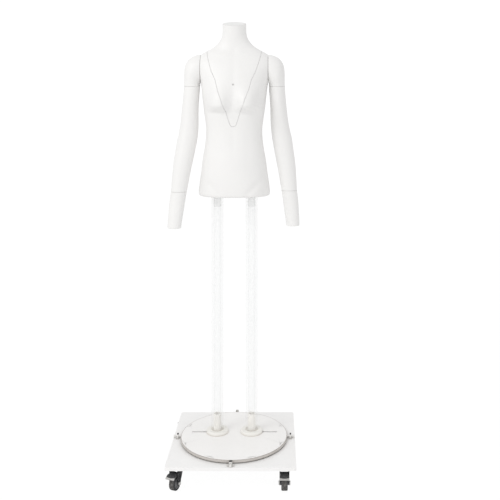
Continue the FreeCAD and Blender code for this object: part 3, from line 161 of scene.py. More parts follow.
MAT["caster_plate"] = material("caster_zinc_plate", (0.55, 0.55, 0.54), 0.4, metal=1.0, var=0.1, var_scale=60, bump=0.08, bump_scale=1600, rough_var=0.12, painted_shade=0.6, painted_shade_dist=0.004)
MAT["black"] = material("black_powder_coat", (0.020, 0.020, 0.022), 0.45, var=0.12, var_scale=40, bump=0.25, bump_scale=1800, rough_var=0.1, spec=0.32,
                        second=((0.06, 0.06, 0.062), 300.0, 0.60, 0.8))
MAT["pedal"] = material("pedal_black", (0.05, 0.05, 0.052), 0.34, var=0.15, var_scale=50, bump=0.2, bump_scale=1400, rough_var=0.1, spec=0.6,
                        second=((0.16, 0.16, 0.165), 120.0, 0.55, 0.8))
MAT["hub"] = material("hub_moulded", (0.22, 0.22, 0.225), 0.45, var=0.08, var_scale=60, bump=0.12, bump_scale=1500, painted_shade=0.5, painted_shade_dist=0.004)
MAT["tyre"] = material("tyre_side", (0.040, 0.040, 0.042), 0.55, var=0.15, var_scale=60, bump=0.3, bump_scale=1200, rough_var=0.1, spec=0.35,
                       second=((0.11, 0.105, 0.10), 90.0, 0.58, 0.85))
# painted highlight: the tread is coloured lighter grey than the sidewalls, standing in for the light stripe along the
# tread
MAT["tread"] = material("tyre_tread", (0.12, 0.115, 0.11), 0.7, var=0.15, var_scale=60, bump=0.4, bump_scale=900, rough_var=0.1, spec=0.3,
                        second=((0.26, 0.25, 0.24), 120.0, 0.5, 0.8))
MAT["ivory"] = material("ivory_flange", (0.90, 0.885, 0.845), 0.40, var=0.02, var_scale=20, bump=0.04, bump_scale=1200, painted_shade=0.5, painted_shade_dist=0.005, painted_shade_color=(0.50, 0.43, 0.33), spec=0.5)
MAT["stub"] = material("stub_warm_metal", (0.95, 0.925, 0.88), 0.42, metal=0.0, var=0.05, var_scale=30, bump=0.08, bump_scale=1600)
MAT["legcap"] = material("leg_cap_satin", (0.93, 0.928, 0.92), 0.42, var=0.015, bump=0.04, bump_scale=1200)
MAT["plug"] = material("leg_plug_milky", (0.97, 0.968, 0.96), 0.42, var=0.015, bump=0.04, bump_scale=1200)
# the plug and plate are milky and let most of the light through
set_in(MAT["plug"].node_tree.nodes["Principled BSDF"], "Alpha", 0.2)
MAT["capgrey"] = material("neck_cap_grey", (0.87, 0.867, 0.86), 0.45, var=0.03, var_scale=14, bump=0.06, bump_scale=1400, painted_shade=0.5, painted_shade_dist=0.004)
MAT["button"] = material("button_dark", (0.60, 0.59, 0.58), 0.35, var=0.05, bump=0.05, bump_scale=1500)
MAT["hipboard"] = material("hip_board", (0.60, 0.56, 0.50), 0.6, var=0.08, var_scale=30, bump=0.15, bump_scale=700, stretch=(0.15, 1, 1))


def rim_material():
    """Metal edge band: fine lines run round the rim, a dark line near its top edge, and painted shade along its bottom
    edge where the gap under the disc falls in shadow.
    """
    m = material("edge_band_metal", (0.62, 0.59, 0.56), 0.40, metal=0.35, var=0.07, var_scale=25, bump=0.12, bump_scale=900, rough_var=0.1, stretch=(0.12, 0.12, 3.0),
                 painted_shade=0.15, painted_shade_dist=0.003)
    nt, N, L = nodes_of(m)
    b = N["Principled BSDF"]
    old = b.inputs["Base Color"].links[0].from_socket
    tc = N.new("ShaderNodeTexCoord")
    sp = N.new("ShaderNodeSeparateXYZ")
    L.new(tc.outputs["Object"], sp.inputs["Vector"])
    # colour by height: painted shade at the bottom edge, a dark line just below the top edge
    ramp = N.new("ShaderNodeValToRGB")
    mr = N.new("ShaderNodeMapRange")
    mr.inputs["From Min"].default_value = 0.099
    mr.inputs["From Max"].default_value = 0.110
    L.new(sp.outputs["Z"], mr.inputs["Value"])
    L.new(mr.outputs["Result"], ramp.inputs["Fac"])
    r = ramp.color_ramp
    r.elements[0].position, r.elements[0].color = 0.0, (1, 1, 1, 1)
    r.elements[1].position, r.elements[1].color = 1.0, (0, 0, 0, 1)
    for p, v in ((0.08, 0.25), (0.14, 0), (0.86, 0), (0.90, 1), (0.95, 1), (0.975, 0)):
        e = r.elements.new(p)
        e.color = (v, v, v, 1)
    mx = N.new("ShaderNodeMix")
    mx.data_type = "RGBA"
    L.new(ramp.outputs["Color"], mx.inputs["Factor"])
    L.new(old, mx.inputs[6])
    mx.inputs[7].default_value = (0.27, 0.25, 0.23, 1)
    L.new(mx.outputs[2], b.inputs["Base Color"])
    return m


MAT["rim"] = rim_material()


def calc(nt, op, a, b=None):
    """One math node; each input is a number or a socket."""
    n = nt.nodes.new("ShaderNodeMath")
    n.operation = op
    for i, v in enumerate((a, b)):
        if v is None:
            continue
        if isinstance(v, (int, float)):
            n.inputs[i].default_value = v
        else:
            nt.links.new(v, n.inputs[i])
    return n.outputs[0]


def place_xyz(nt):
    tc = nt.nodes.new("ShaderNodeTexCoord")
    sp = nt.nodes.new("ShaderNodeSeparateXYZ")
    nt.links.new(tc.outputs["Object"], sp.inputs["Vector"])
    return sp.outputs["X"], sp.outputs["Y"], sp.outputs["Z"]


def overlay(m, colour, mask, metallic=None):
    """Lays a second colour over a finish wherever the mask is 1."""
    nt, N, L = nodes_of(m)
    b = N["Principled BSDF"]
    old = b.inputs["Base Color"].links[0].from_socket
    mx = N.new("ShaderNodeMix")
    mx.data_type = "RGBA"
    L.new(mask, mx.inputs["Factor"])
    L.new(old, mx.inputs[6])
    mx.inputs[7].default_value = (*colour, 1)
    L.new(mx.outputs[2], b.inputs["Base Color"])
    if metallic is not None:
        was = b.inputs["Metallic"].default_value
        L.new(calc(nt, "ADD", calc(nt, "MULTIPLY", mask, metallic - was), was), b.inputs["Metallic"])


def near_axes(nt, half, z0, z1):
    """Mask of the four rim notches: close to the X or Y axis, between two heights."""
    x, y, z = place_xyz(nt)
    a = calc(nt, "MINIMUM", calc(nt, "ABSOLUTE", x), calc(nt, "ABSOLUTE", y))
    m_ = calc(nt, "LESS_THAN", a, half)
    m_ = calc(nt, "MULTIPLY", m_, calc(nt, "GREATER_THAN", z, z0))
    return calc(nt, "MULTIPLY", m_, calc(nt, "LESS_THAN", z, z1))


# painted shade: the notches are coloured near-black in the bright edge band so they read as shadowed openings
overlay(MAT["rim"], (0.05, 0.045, 0.04), near_axes(MAT["rim"].node_tree, 0.0050, 0.1035, 0.1097))
# painted shade: the disc's outer edge at the four notches is coloured near-black, standing in for the shadow inside
# them
nt_ = MAT["disc"].node_tree
x_, y_, z_ = place_xyz(nt_)
far_ = calc(nt_, "GREATER_THAN", calc(nt_, "MAXIMUM", calc(nt_, "ABSOLUTE", x_), calc(nt_, "ABSOLUTE", y_)), 0.2045)
overlay(MAT["disc"], (0.07, 0.065, 0.06), calc(nt_, "MULTIPLY", far_, near_axes(nt_, 0.0058, 0.0, 0.1090)))
# stop feet: painted shade, the lowest 2.7 mm of the foot is darker and less metallic, the shade along its edge at the
# board
nt_ = MAT["alu"].node_tree
z_low = min(v.co.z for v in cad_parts["index_stops"].data.vertices)
overlay(MAT["alu"], (0.34, 0.32, 0.30), calc(nt_, "LESS_THAN", place_xyz(nt_)[2], z_low + 0.0027), 0.1)
# and the tops of the front and side posts are coloured near-black
x_, y_, z_ = place_xyz(nt_)
overlay(MAT["alu"], (0.045, 0.042, 0.04), calc(nt_, "MULTIPLY", calc(nt_, "GREATER_THAN", z_, z_low + 0.0152), calc(nt_, "LESS_THAN", y_, 0.1)))
# brake pedals: the lip the foot presses is worn down to bright metal
nt_ = MAT["pedal"].node_tree
x_, y_, z_ = place_xyz(nt_)
dx_ = calc(nt_, "SUBTRACT", calc(nt_, "ABSOLUTE", x_), 0.205)
dy_ = calc(nt_, "SUBTRACT", calc(nt_, "ABSOLUTE", y_), 0.205)
rr_ = calc(nt_, "SQRT", calc(nt_, "ADD", calc(nt_, "MULTIPLY", dx_, dx_), calc(nt_, "MULTIPLY", dy_, dy_)))
wear = nt_.nodes.new("ShaderNodeTexNoise")
wear.inputs["Scale"].default_value = 160
edge_ = calc(nt_, "ADD", rr_, calc(nt_, "MULTIPLY", calc(nt_, "SUBTRACT", wear.outputs["Fac"], 0.5), 0.006))
overlay(MAT["pedal"], (0.50, 0.49, 0.475), calc(nt_, "GREATER_THAN", edge_, 0.0575), 0.6)


def acrylic_material():
    """Clear acrylic: mostly see-through, with a mirror sheen at its edges, a pale body tint and faint scuffs."""
    m = bpy.data.materials.new("clear_acrylic")
    nt, N, L = nodes_of(m)
    b = N["Principled BSDF"]
    out = N["Material Output"]
    set_in(b, "Base Color", (0.93, 0.94, 0.94, 1))
    set_in(b, "Specular IOR Level", 0.5)
    set_in(b, "IOR", 1.49)
    tc = N.new("ShaderNodeTexCoord")
    n = N.new("ShaderNodeTexNoise")
    n.inputs["Scale"].default_value = 22
    n.inputs["Detail"].default_value = 6
    L.new(tc.outputs["Object"], n.inputs["Vector"])
    mr = N.new("ShaderNodeMapRange")
    mr.inputs["From Min"].default_value = 0.35
    mr.inputs["From Max"].default_value = 0.75
    mr.inputs["To Min"].default_value = 0.04
    mr.inputs["To Max"].default_value = 0.12
    L.new(n.outputs["Fac"], mr.inputs["Value"])
    L.new(mr.outputs["Result"], b.inputs["Roughness"])
    # see-through share: a little less where the wall is seen edge on, and where it is scuffed
    lw = N.new("ShaderNodeLayerWeight")
    lw.inputs["Blend"].default_value = 0.35
    am = N.new("ShaderNodeMapRange")
    am.inputs["To Min"].default_value = 0.14
    am.inputs["To Max"].default_value = 0.22
    L.new(lw.outputs["Facing"], am.inputs["Value"])
    sc = N.new("ShaderNodeMapRange")
    sc.inputs["From Min"].default_value = 0.58
    sc.inputs["From Max"].default_value = 0.82
    sc.inputs["To Min"].default_value = 0.0
    sc.inputs["To Max"].default_value = 0.08
    L.new(n.outputs["Fac"], sc.inputs["Value"])
    ad = N.new("ShaderNodeMath")
    L.new(am.outputs["Result"], ad.inputs[0])
    L.new(sc.outputs["Result"], ad.inputs[1])
    L.new(ad.outputs["Value"], b.inputs["Alpha"])
    return m


MAT["acrylic"] = acrylic_material()

# =============================================================== mesh helpers


def make_object(name, verts, faces, mats, face_mats=None, smooth=True, sharp_angle=None):
    me = bpy.data.meshes.new(name)
    me.from_pydata([tuple(v) for v in verts], [], [tuple(int(i) for i in f) for f in faces])
    me.update()
    for m in mats:
        me.materials.append(m)
    if face_mats is not None:
        me.polygons.foreach_set("material_index", np.asarray(face_mats, dtype=np.int32))
    me.polygons.foreach_set("use_smooth", np.full(len(me.polygons), smooth))
    me.validate()
    ob = bpy.data.objects.new(name, me)
    bpy.context.scene.collection.objects.link(ob)
    if sharp_angle:
        me.update()
        if hasattr(me, "set_sharp_from_angle"):
            me.set_sharp_from_angle(angle=math.radians(sharp_angle))
    return ob


def ring_chain(rings, close_start=True, close_end=True):
    """Rings of equal length joined in order, each a list of points; the ends close to their middle point."""
    m = len(rings[0])
    verts, faces = [], []
    for r in rings:
        verts += [tuple(p) for p in r]
    n = len(rings)
    for i in range(n - 1):
        for k in range(m):
            a, b = i * m + k, i * m + (k + 1) % m
            faces.append((a, b, b + m, a + m))
    if close_start:
        c = np.mean(np.array(rings[0]), axis=0)
        verts.append(tuple(c))
        q = len(verts) - 1
        faces += [(q, (k + 1) % m, k) for k in range(m)]
    if close_end:
        c = np.mean(np.array(rings[-1]), axis=0)
        verts.append(tuple(c))
        q = len(verts) - 1
        o = (n - 1) * m
        faces += [(q, o + k, o + (k + 1) % m) for k in range(m)]
    return verts, faces


def fix_normals(ob):
    import bmesh
    bm = bmesh.new()
    bm.from_mesh(ob.data)
    bmesh.ops.recalc_face_normals(bm, faces=bm.faces)
    bm.to_mesh(ob.data)
    bm.free()
    ob.data.update()


def lathe(name, profile, mats, seg=96, axis="Z", centre=(0, 0, 0), closed=True, seg_mats=None, sharp=40):
    """Profile of (radius, height) points in mm turned round an axis; closed makes a tube-like solid of the outline."""
    verts, faces, fm = [], [], []
    n = len(profile)
    for r, h in profile:
        for k in range(seg):
            a = 2 * pi * k / seg
            x, y = r * math.cos(a), r * math.sin(a)
            p = (x, y, h) if axis == "Z" else (h, x, y) if axis == "X" else (x, h, y)
            verts.append(tuple((p[i] + centre[i]) * MM for i in range(3)))
    last = n if closed else n - 1
    for i in range(last):
        j = (i + 1) % n
        for k in range(seg):
            k2 = (k + 1) % seg
            faces.append((i * seg + k, i * seg + k2, j * seg + k2, j * seg + k))
            fm.append(seg_mats[i] if seg_mats else 0)
    ob = make_object(name, verts, faces, mats, fm)
    import bmesh
    bm = bmesh.new()
    bm.from_mesh(ob.data)
    bmesh.ops.remove_doubles(bm, verts=bm.verts, dist=1e-7)
    bmesh.ops.dissolve_degenerate(bm, dist=1e-7, edges=bm.edges)
    bmesh.ops.recalc_face_normals(bm, faces=bm.faces)
    bm.to_mesh(ob.data)
    bm.free()
    if sharp and hasattr(ob.data, "set_sharp_from_angle"):
        ob.data.set_sharp_from_angle(angle=math.radians(sharp))
    return ob


def rounded(profile, radius, steps=4, skip=()):
    """Rounds the corners of a closed outline of (r, h) points."""
    out = []
    n = len(profile)
    for i in range(n):
        p = np.array(profile[i], float)
        a = np.array(profile[i - 1], float)
        b = np.array(profile[(i + 1) % n], float)
        rad = radius[i] if isinstance(radius, (list, tuple)) else radius
        if rad <= 0 or i in skip:
            out.append(tuple(p))
            continue
        u, v = a - p, b - p
        lu, lv = np.linalg.norm(u), np.linalg.norm(v)
        u, v = u / lu, v / lv
        t = min(rad, lu * 0.45, lv * 0.45)
        for s in range(steps + 1):
            w = s / steps
            q = (1 - w) ** 2 * (p + u * t) + 2 * w * (1 - w) * p + w * w * (p + v * t)
            out.append((float(q[0]), float(q[1])))
    return out


def cad_finish(node, mat, width=0.0005, seg=2, angle=32):
    """Keeps a CAD node, with rounded edges and a procedural finish in its slots."""
    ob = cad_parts[node]
    for i in range(len(ob.material_slots)):
        ob.material_slots[i].material = mat
    if not ob.material_slots:
        ob.data.materials.append(mat)
    w = ob.modifiers.new("weld", "WELD")
    w.merge_threshold = 0.00001
    if width:
        b = ob.modifiers.new("round", "BEVEL")
        b.width = width
        b.segments = seg
        b.limit_method = "ANGLE"
        b.angle_limit = math.radians(angle)
        b.harden_normals = False
        b.use_clamp_overlap = True
    return ob


# =============================================================== body surface
TORSO = np.array([
    (1095.0, 140.0, -86.0, 118.0, 20.0, 2.25), (1097.5, 144.5, -90.0, 122.5, 20.0, 2.25), (1102.0, 147.3, -93.0, 126.0, 20.0, 2.25),
    (1113.0, 147.6, -94.5, 127.5, 20.0, 2.25), (1132.0, 145.6, -95.5, 126.5, 20.0, 2.25), (1159.0, 142.0, -95.5, 121.0, 19.0, 2.25),
    (1200.0, 136.0, -93.0, 108.0, 16.0, 2.25), (1241.0, 131.0, -88.0, 96.0, 12.0, 2.25), (1283.0, 123.5, -82.5, 88.5, 9.0, 2.25),
    (1324.0, 117.5, -78.5, 85.0, 8.0, 2.25), (1365.0, 115.8, -77.0, 86.0, 9.0, 2.25), (1406.0, 120.0, -79.0, 91.5, 12.0, 2.25),
    (1448.0, 126.0, -82.0, 98.0, 16.0, 2.30), (1489.0, 131.0, -84.0, 104.0, 20.0, 2.35), (1520.0, 134.0, -82.0, 107.0, 22.0, 2.40),
    (1545.0, 137.0, -78.5, 108.5, 22.5, 2.40), (1572.0, 141.5, -73.0, 108.5, 22.5, 2.40), (1600.0, 152.0, -65.5, 106.0, 23.0, 2.35),
    (1625.0, 162.0, -56.0, 101.0, 23.5, 2.30), (1645.0, 164.0, -46.0, 95.0, 24.5, 2.20), (1660.0, 158.0, -37.5, 89.5, 25.5, 2.10),
    (1672.0, 148.0, -30.5, 84.5, 26.5, 2.00), (1682.0, 135.0, -24.5, 80.0, 27.5, 1.90), (1691.0, 118.0, -19.5, 76.5, 28.0, 1.85),
    (1700.0, 100.0, -15.5, 73.5, 28.5, 1.85), (1710.0, 84.5, -13.0, 71.5, 29.0, 1.90), (1722.0, 71.0, -12.0, 70.0, 29.0, 1.95),
    (1736.0, 60.0, -13.0, 69.0, 28.0, 2.00), (1752.0, 52.4, -16.0, 67.0, 25.5, 2.00), (1770.0, 49.6, -20.5, 64.0, 21.7, 2.00),
    (1790.0, 49.3, -26.0, 60.5, 17.2, 2.00), (1825.0, 49.5, -35.5, 54.0, 9.2, 2.00)])


def hermite(xs, ys, x):
    xs, ys = list(xs), list(ys)
    n = len(xs)
    if x <= xs[0]:
        return ys[0]
    if x >= xs[-1]:
        return ys[-1]
    i = 0
    while xs[i + 1] < x:
        i += 1

    def slope(k):
        if k == 0 or k == n - 1:
            a, b = (0, 1) if k == 0 else (n - 2, n - 1)
            return (ys[b] - ys[a]) / (xs[b] - xs[a])
        d0 = (ys[k] - ys[k - 1]) / (xs[k] - xs[k - 1])
        d1 = (ys[k + 1] - ys[k]) / (xs[k + 1] - xs[k])
        if d0 * d1 <= 0:
            return 0.0
        w0, w1 = xs[k] - xs[k - 1], xs[k + 1] - xs[k]
        m = (d0 * w1 + d1 * w0) / (w0 + w1)
        lim = 3 * min(abs(d0), abs(d1))
        return max(-lim, min(lim, m))
    h = xs[i + 1] - xs[i]
    t = (x - xs[i]) / h
    m0, m1 = slope(i) * h, slope(i + 1) * h
    return ((2 * t ** 3 - 3 * t ** 2 + 1) * ys[i] + (t ** 3 - 2 * t ** 2 + t) * m0 + (-2 * t ** 3 + 3 * t ** 2) * ys[i + 1] + (t ** 3 - t ** 2) * m1)


ZD = np.arange(1095.0, 1826.0, 1.0)
DENSE = np.array([[hermite(TORSO[:, 0], TORSO[:, c], z) for z in ZD] for c in range(1, 6)])


def smooth_table(t, sigma=7.0):
    r = int(sigma * 3)
    k = np.exp(-0.5 * (np.arange(-r, r + 1) / sigma) ** 2)
    k /= k.sum()
    e = np.concatenate([2 * t[0] - t[r:0:-1], t, 2 * t[-1] - t[-2:-r - 2:-1]])
    s = np.convolve(e, k, "valid")
    # the turned-in base edge and the very top keep their exact outline
    w = np.clip((ZD - 1109.0) / 22.0, 0, 1)
    return t * (1 - w) + s * w


DENSE = np.array([smooth_table(c) for c in DENSE])


def station(z):
    return [np.interp(z, ZD, c) for c in DENSE]


def bump2(x, z, cx, cz, sx, sz):
    return np.exp(-((x - cx) / sx) ** 2 - ((z - cz) / sz) ** 2)


def seg_ridge(x, z, p, q, width):
    px, pz, qx, qz = p[0], p[1], q[0], q[1]
    dx, dz = qx - px, qz - pz
    t = np.clip(((x - px) * dx + (z - pz) * dz) / (dx * dx + dz * dz), 0, 1)
    d2 = (x - px - t * dx) ** 2 + (z - pz - t * dz) ** 2
    return np.exp(-d2 / (width * width)) * np.clip(np.sin(np.clip(t, 0.0, 1.0) * pi) * 1.4, 0, 1)


def front_relief(x, z):
    """Forward bulge of the front surface in mm: bust, collarbones, breastbone and belly."""
    a = np.abs(x)
    dz = z - 1476.0
    gz = np.where(dz > 0, np.exp(-(dz / 56.0) ** 2), np.exp(-(np.abs(dz) / 31.0) ** 2.6))
    gx = np.exp(-(np.abs(a - 61.0) / 42.0) ** 2.6) + 0.08 * np.exp(-(x / 26.0) ** 2)
    f = 31.0 * gx * gz
    # fuller underside of the bust and the fold beneath it
    f += 4.5 * bump2(a, z, 60.0, 1459.0, 30.0, 12.0)
    f -= 3.6 * bump2(a, z, 62.0, 1436.0, 42.0, 7.5)
    # collarbones and the hollow above them
    f += 1.7 * seg_ridge(a, z, (14.0, 1668.0), (112.0, 1688.0), 11.0)
    f -= 1.2 * seg_ridge(a, z, (26.0, 1688.0), (96.0, 1704.0), 12.0)
    f -= 2.0 * bump2(a, z, 0.0, 1690.0, 12.0, 15.0)
    # breastbone furrow
    f -= 1.8 * np.exp(-(x / 13.0) ** 2) * np.exp(-((z - 1590.0) / 70.0) ** 2)
    # belly: centre furrow, flanks, navel
    f -= 1.6 * np.exp(-(x / 12.0) ** 2) * np.exp(-((z - 1330.0) / 55.0) ** 2)
    f -= 1.2 * np.exp(-((a - 62.0) / 14.0) ** 2) * np.exp(-((z - 1300.0) / 80.0) ** 2)
    f += 5.5 * bump2(a, z, 0.0, 1228.0, 62.0, 58.0) - 2.0 * bump2(a, z, 0.0, 1100.0, 80.0, 45.0)
    # hip bones and groin lines
    f += 2.2 * bump2(a, z, 108.0, 1178.0, 20.0, 28.0)
    f -= 3.4 * seg_ridge(a, z, (114.0, 1166.0), (44.0, 1094.0), 13.0)
    return f


def back_relief(x, z):
    """Backward bulge of the back surface in mm: shoulder blades, spine furrow and seat."""
    a = np.abs(x)
    f = -5.0 * np.exp(-(x / 15.0) ** 2) * np.exp(-((z - 1420.0) / 150.0) ** 2)
    f += 3.5 * bump2(a, z, 66.0, 1585.0, 30.0, 50.0)
    f -= 2.0 * seg_ridge(a, z, (30.0, 1520.0), (96.0, 1545.0), 14.0)
    f += 2.0 * bump2(a, z, 28.0, 1330.0, 16.0, 90.0)
    f -= 3.0 * np.exp(-(x / 9.0) ** 2) * np.exp(-((z - 1105.0) / 45.0) ** 2)
    return f


def body_xy(th, z):
    w, yf, yb, yc, ne = station(z)
    c, s = np.cos(th), np.sin(th)
    ex = 2.0 / ne
    x = w * np.abs(c) ** ex * np.sign(c)
    dep = np.where(s >= 0, yb - yc, yc - yf)
    y = yc + dep * np.abs(s) ** ex * np.sign(s)
    y = np.where(s < 0, y - front_relief(x, z) * np.minimum(1.0, -s * 1.6), y + back_relief(x, z) * np.clip(s, 0, 1))
    return x, y


def body_pos(th, z):
    x, y = body_xy(th, z)
    return np.stack([x, y, z], axis=-1)


def body_normal(th, z):
    e = 1e-3
    pu = body_pos(th + e, z) - body_pos(th - e, z)
    zz = np.clip(z, 1095.6, 1824.4)
    pv = body_pos(th, zz + 0.5) - body_pos(th, zz - 0.5)
    n = np.cross(pu, pv)
    return n / np.maximum(np.linalg.norm(n, axis=-1, keepdims=True), 1e-9)


SH = 139.85
SZH, SYL = 1617.0, 22.0
VSEAM = np.array([(0.0, 1380.0), (6.0, 1381.6), (11.5, 1387.0), (15.0, 1395.0), (21.0, 1413.0), (27.5, 1435.0), (37.7, 1459.0), (50.0, 1495.0),
                  (62.0, 1526.0), (75.0, 1572.0), (90.0, 1604.0), (100.0, 1636.0), (109.0, 1668.0), (115.0, 1702.0), (118.0, 1900.0)])
BSEAM = np.array([(0.0, 1596.0), (20.0, 1597.5), (40.0, 1603.0), (60.0, 1615.0), (78.0, 1632.0), (93.0, 1650.0), (104.0, 1668.0), (115.0, 1702.0), (118.0, 1900.0)])


def resample(table, n=240):
    d = np.concatenate([[0], np.cumsum(np.hypot(*np.diff(table, axis=0).T))])
    t = np.linspace(0, d[-2] + 40, n)
    p = np.stack([[hermite(d, table[:, 0], q) for q in t], [hermite(d, table[:, 1], q) for q in t]], axis=-1)
    # light smoothing so the seam runs as one fair curve
    for _ in range(3):
        p[1:-1] = 0.25 * p[:-2] + 0.5 * p[1:-1] + 0.25 * p[2:]
    return p


VC, BC = resample(VSEAM), resample(BSEAM)


def seam_distance(curve, x, z):
    """Signed distance in mm from the seam curve in front view, positive inside the insert."""
    a = np.abs(x)
    p, q = curve[:-1], curve[1:]
    best = np.full(a.shape, 1e9)
    for i in range(len(p)):
        dx, dz = q[i] - p[i]
        t = np.clip(((a - p[i][0]) * dx + (z - p[i][1]) * dz) / (dx * dx + dz * dz + 1e-12), 0, 1)
        d = np.hypot(a - p[i][0] - t * dx, z - p[i][1] - t * dz)
        best = np.minimum(best, d)
    half = np.interp(z, curve[:, 1], curve[:, 0], left=-1.0)
    return np.where((a < half) & (z > curve[0, 1]), best, -best)


def seam_field(pos):
    x, y, z = pos[..., 0], pos[..., 1], pos[..., 2]
    w = np.clip((y - 8.0) / 28.0, 0, 1)
    w = w * w * (3 - 2 * w)
    return seam_distance(VC, x, z) * (1 - w) + seam_distance(BC, x, z) * w


TILT = math.radians(17.0)
NECK = np.array([0.0, 56.5, 1818.0])
NN = np.array([0.0, -math.sin(TILT), math.cos(TILT)])


def neck_field(pos):
    return (pos - NECK) @ NN


def split_at(par, tri, field, level):
    """Cuts the triangles of a mesh given by surface parameters where field crosses level; new points lie on the surface."""
    pos = body_pos(par[:, 0], par[:, 1])
    f = field(pos) - level
    f = np.where(np.abs(f) < 1e-6, 1e-6, f)
    s = f > 0
    m = s[tri].sum(axis=1)
    mixed = (m > 0) & (m < 3)
    keep = tri[~mixed].tolist()
    cut = tri[mixed]
    edge = {}
    extra = []
    base = len(par)
    for t in cut:
        for i in range(3):
            a, b = int(t[i]), int(t[(i + 1) % 3])
            if s[a] != s[b]:
                k = (min(a, b), max(a, b))
                if k not in edge:
                    edge[k] = base + len(extra)
                    extra.append(k)
    if not extra:
        return par, tri
    ea = np.array(extra)
    pa, pb = par[ea[:, 0]], par[ea[:, 1]]
    fa, fb = f[ea[:, 0]], f[ea[:, 1]]
    dth = pb[:, 0] - pa[:, 0]
    dth = (dth + pi) % (2 * pi) - pi
    lo, hi = np.zeros(len(ea)), np.ones(len(ea))
    flo = fa.copy()
    for _ in range(12):
        mid = 0.5 * (lo + hi)
        pm = np.stack([pa[:, 0] + dth * mid, pa[:, 1] + (pb[:, 1] - pa[:, 1]) * mid], axis=-1)
        fm = field(body_pos(pm[:, 0], pm[:, 1])) - level
        same = (fm > 0) == (flo > 0)
        lo = np.where(same, mid, lo)
        hi = np.where(same, hi, mid)
    mid = 0.5 * (lo + hi)
    pm = np.stack([pa[:, 0] + dth * mid, pa[:, 1] + (pb[:, 1] - pa[:, 1]) * mid], axis=-1)
    par = np.concatenate([par, pm])
    for t in cut:
        v = [int(q) for q in t]
        sg = [bool(s[q]) for q in v]
        i = [k for k in range(3) if sg[k] != sg[(k + 1) % 3] and sg[k] != sg[(k + 2) % 3]][0]
        a, b, c = v[i], v[(i + 1) % 3], v[(i + 2) % 3]
        ab = edge[(min(a, b), max(a, b))]
        ac = edge[(min(a, c), max(a, c))]
        keep.append([a, ab, ac])
        keep.append([ab, b, c])
        keep.append([ab, c, ac])
    return par, np.array(keep, dtype=np.int64)


def body_grid(cols, rows):
    th = 2 * pi * (np.arange(cols) + 0.5) / cols
    n = len(rows)
    par = np.array([(t, z) for z in rows for t in th])
    tri = []
    for i in range(n - 1):
        for k in range(cols):
            a, b = i * cols + k, i * cols + (k + 1) % cols
            c, e = a + cols, b + cols
            if (i + k) % 2:
                tri += [(a, b, e), (a, e, c)]
            else:
                tri += [(a, b, c), (b, e, c)]
    return par, np.array(tri, dtype=np.int64)


def round_in(d, r):
    """How far a rounded edge of radius r falls below the surface at distance d from the edge."""
    d = np.clip(d, 0, r)
    return r - np.sqrt(np.maximum(r * r - (r - d) ** 2, 0))


COLS = 256
ROWS = np.concatenate([[1095.0, 1095.8, 1097.5, 1099.5, 1102.0, 1105.0], np.arange(1109.0, 1640.0, 4.0), np.arange(1640.0, 1740.0, 2.0), np.arange(1740.0, 1826.0, 3.0)])
par, tri = body_grid(COLS, ROWS)
RS = 1.3
for lv in (-RS, -0.8, -0.35, 0.0, 0.35, 0.8, RS):
    par, tri = split_at(par, tri, seam_field, lv)


def side_field(p):
    # only the shoulders are cut flat; the hips keep their full width
    return np.where(p[..., 2] > 1400.0, np.abs(p[..., 0]) - SH, -50.0)


for lv in (0.0, -0.35, -0.8, -RS):
    par, tri = split_at(par, tri, side_field, lv)
for lv in (0.0, -0.4, -1.0):
    par, tri = split_at(par, tri, neck_field, lv)
pos = body_pos(par[:, 0], par[:, 1])
nor = body_normal(par[:, 0], par[:, 1])
f_seam, f_side, f_neck = seam_field(pos), side_field(pos), neck_field(pos)
inset = np.maximum(round_in(np.abs(f_seam), RS), np.maximum(round_in(-f_side, RS), round_in(-f_neck, 1.0)))
moved = pos - nor * inset[:, None]
# parting gap: each side steps back from the seam line
e = 0.05
gx = (seam_field(pos + np.array([e, 0, 0])) - seam_field(pos - np.array([e, 0, 0]))) / (2 * e)
gz = (seam_field(pos + np.array([0, 0, e])) - seam_field(pos - np.array([0, 0, e]))) / (2 * e)
gl = np.maximum(np.hypot(gx, gz), 1e-6)
near = np.clip(1 - np.abs(f_seam) / 0.4, 0, 1)

mean = lambda f: f[tri].mean(axis=1)
on_body = (mean(f_side) < 0) & (mean(f_neck) < 0)
is_insert = on_body & (mean(f_seam) > 0)
is_torso = on_body & (mean(f_seam) < 0)


def sub_mesh(mask, sign):
    used = np.unique(tri[mask])
    remap = -np.ones(len(par), dtype=np.int64)
    remap[used] = np.arange(len(used))
    v = moved[used].copy()
    v[:, 0] += sign * near[used] * gx[used] / gl[used] * 0.22
    v[:, 2] += sign * near[used] * gz[used] / gl[used] * 0.22
    return v, remap[tri[mask]], used


def boundary_loops(tris):
    nxt = {}
    cnt = {}
    for t in tris:
        for i in range(3):
            a, b = int(t[i]), int(t[(i + 1) % 3])
            cnt[(a, b)] = 1
    for (a, b) in cnt:
        if (b, a) not in cnt:
            nxt[a] = b
    loops = []
    seen = set()
    for a in list(nxt):
        if a in seen:
            continue
        lp = []
        while a not in seen and a in nxt:
            seen.add(a)
            lp.append(a)
            a = nxt[a]
        loops.append(lp)
    return loops


# ---- torso: outer skin, flat sides at the shoulders, floor with the two pin slots
tv, tt, used = sub_mesh(is_torso, -1)
loops = boundary_loops(tt)
tv = tv.tolist()
tt = tt.tolist()
LX, LY = 71.0, 24.0


def slot_distance(x, y):
    a = np.abs(x)
    cx = np.clip(a, 71.0, 111.5)
    return np.hypot(a - cx, y - LY) - 8.3


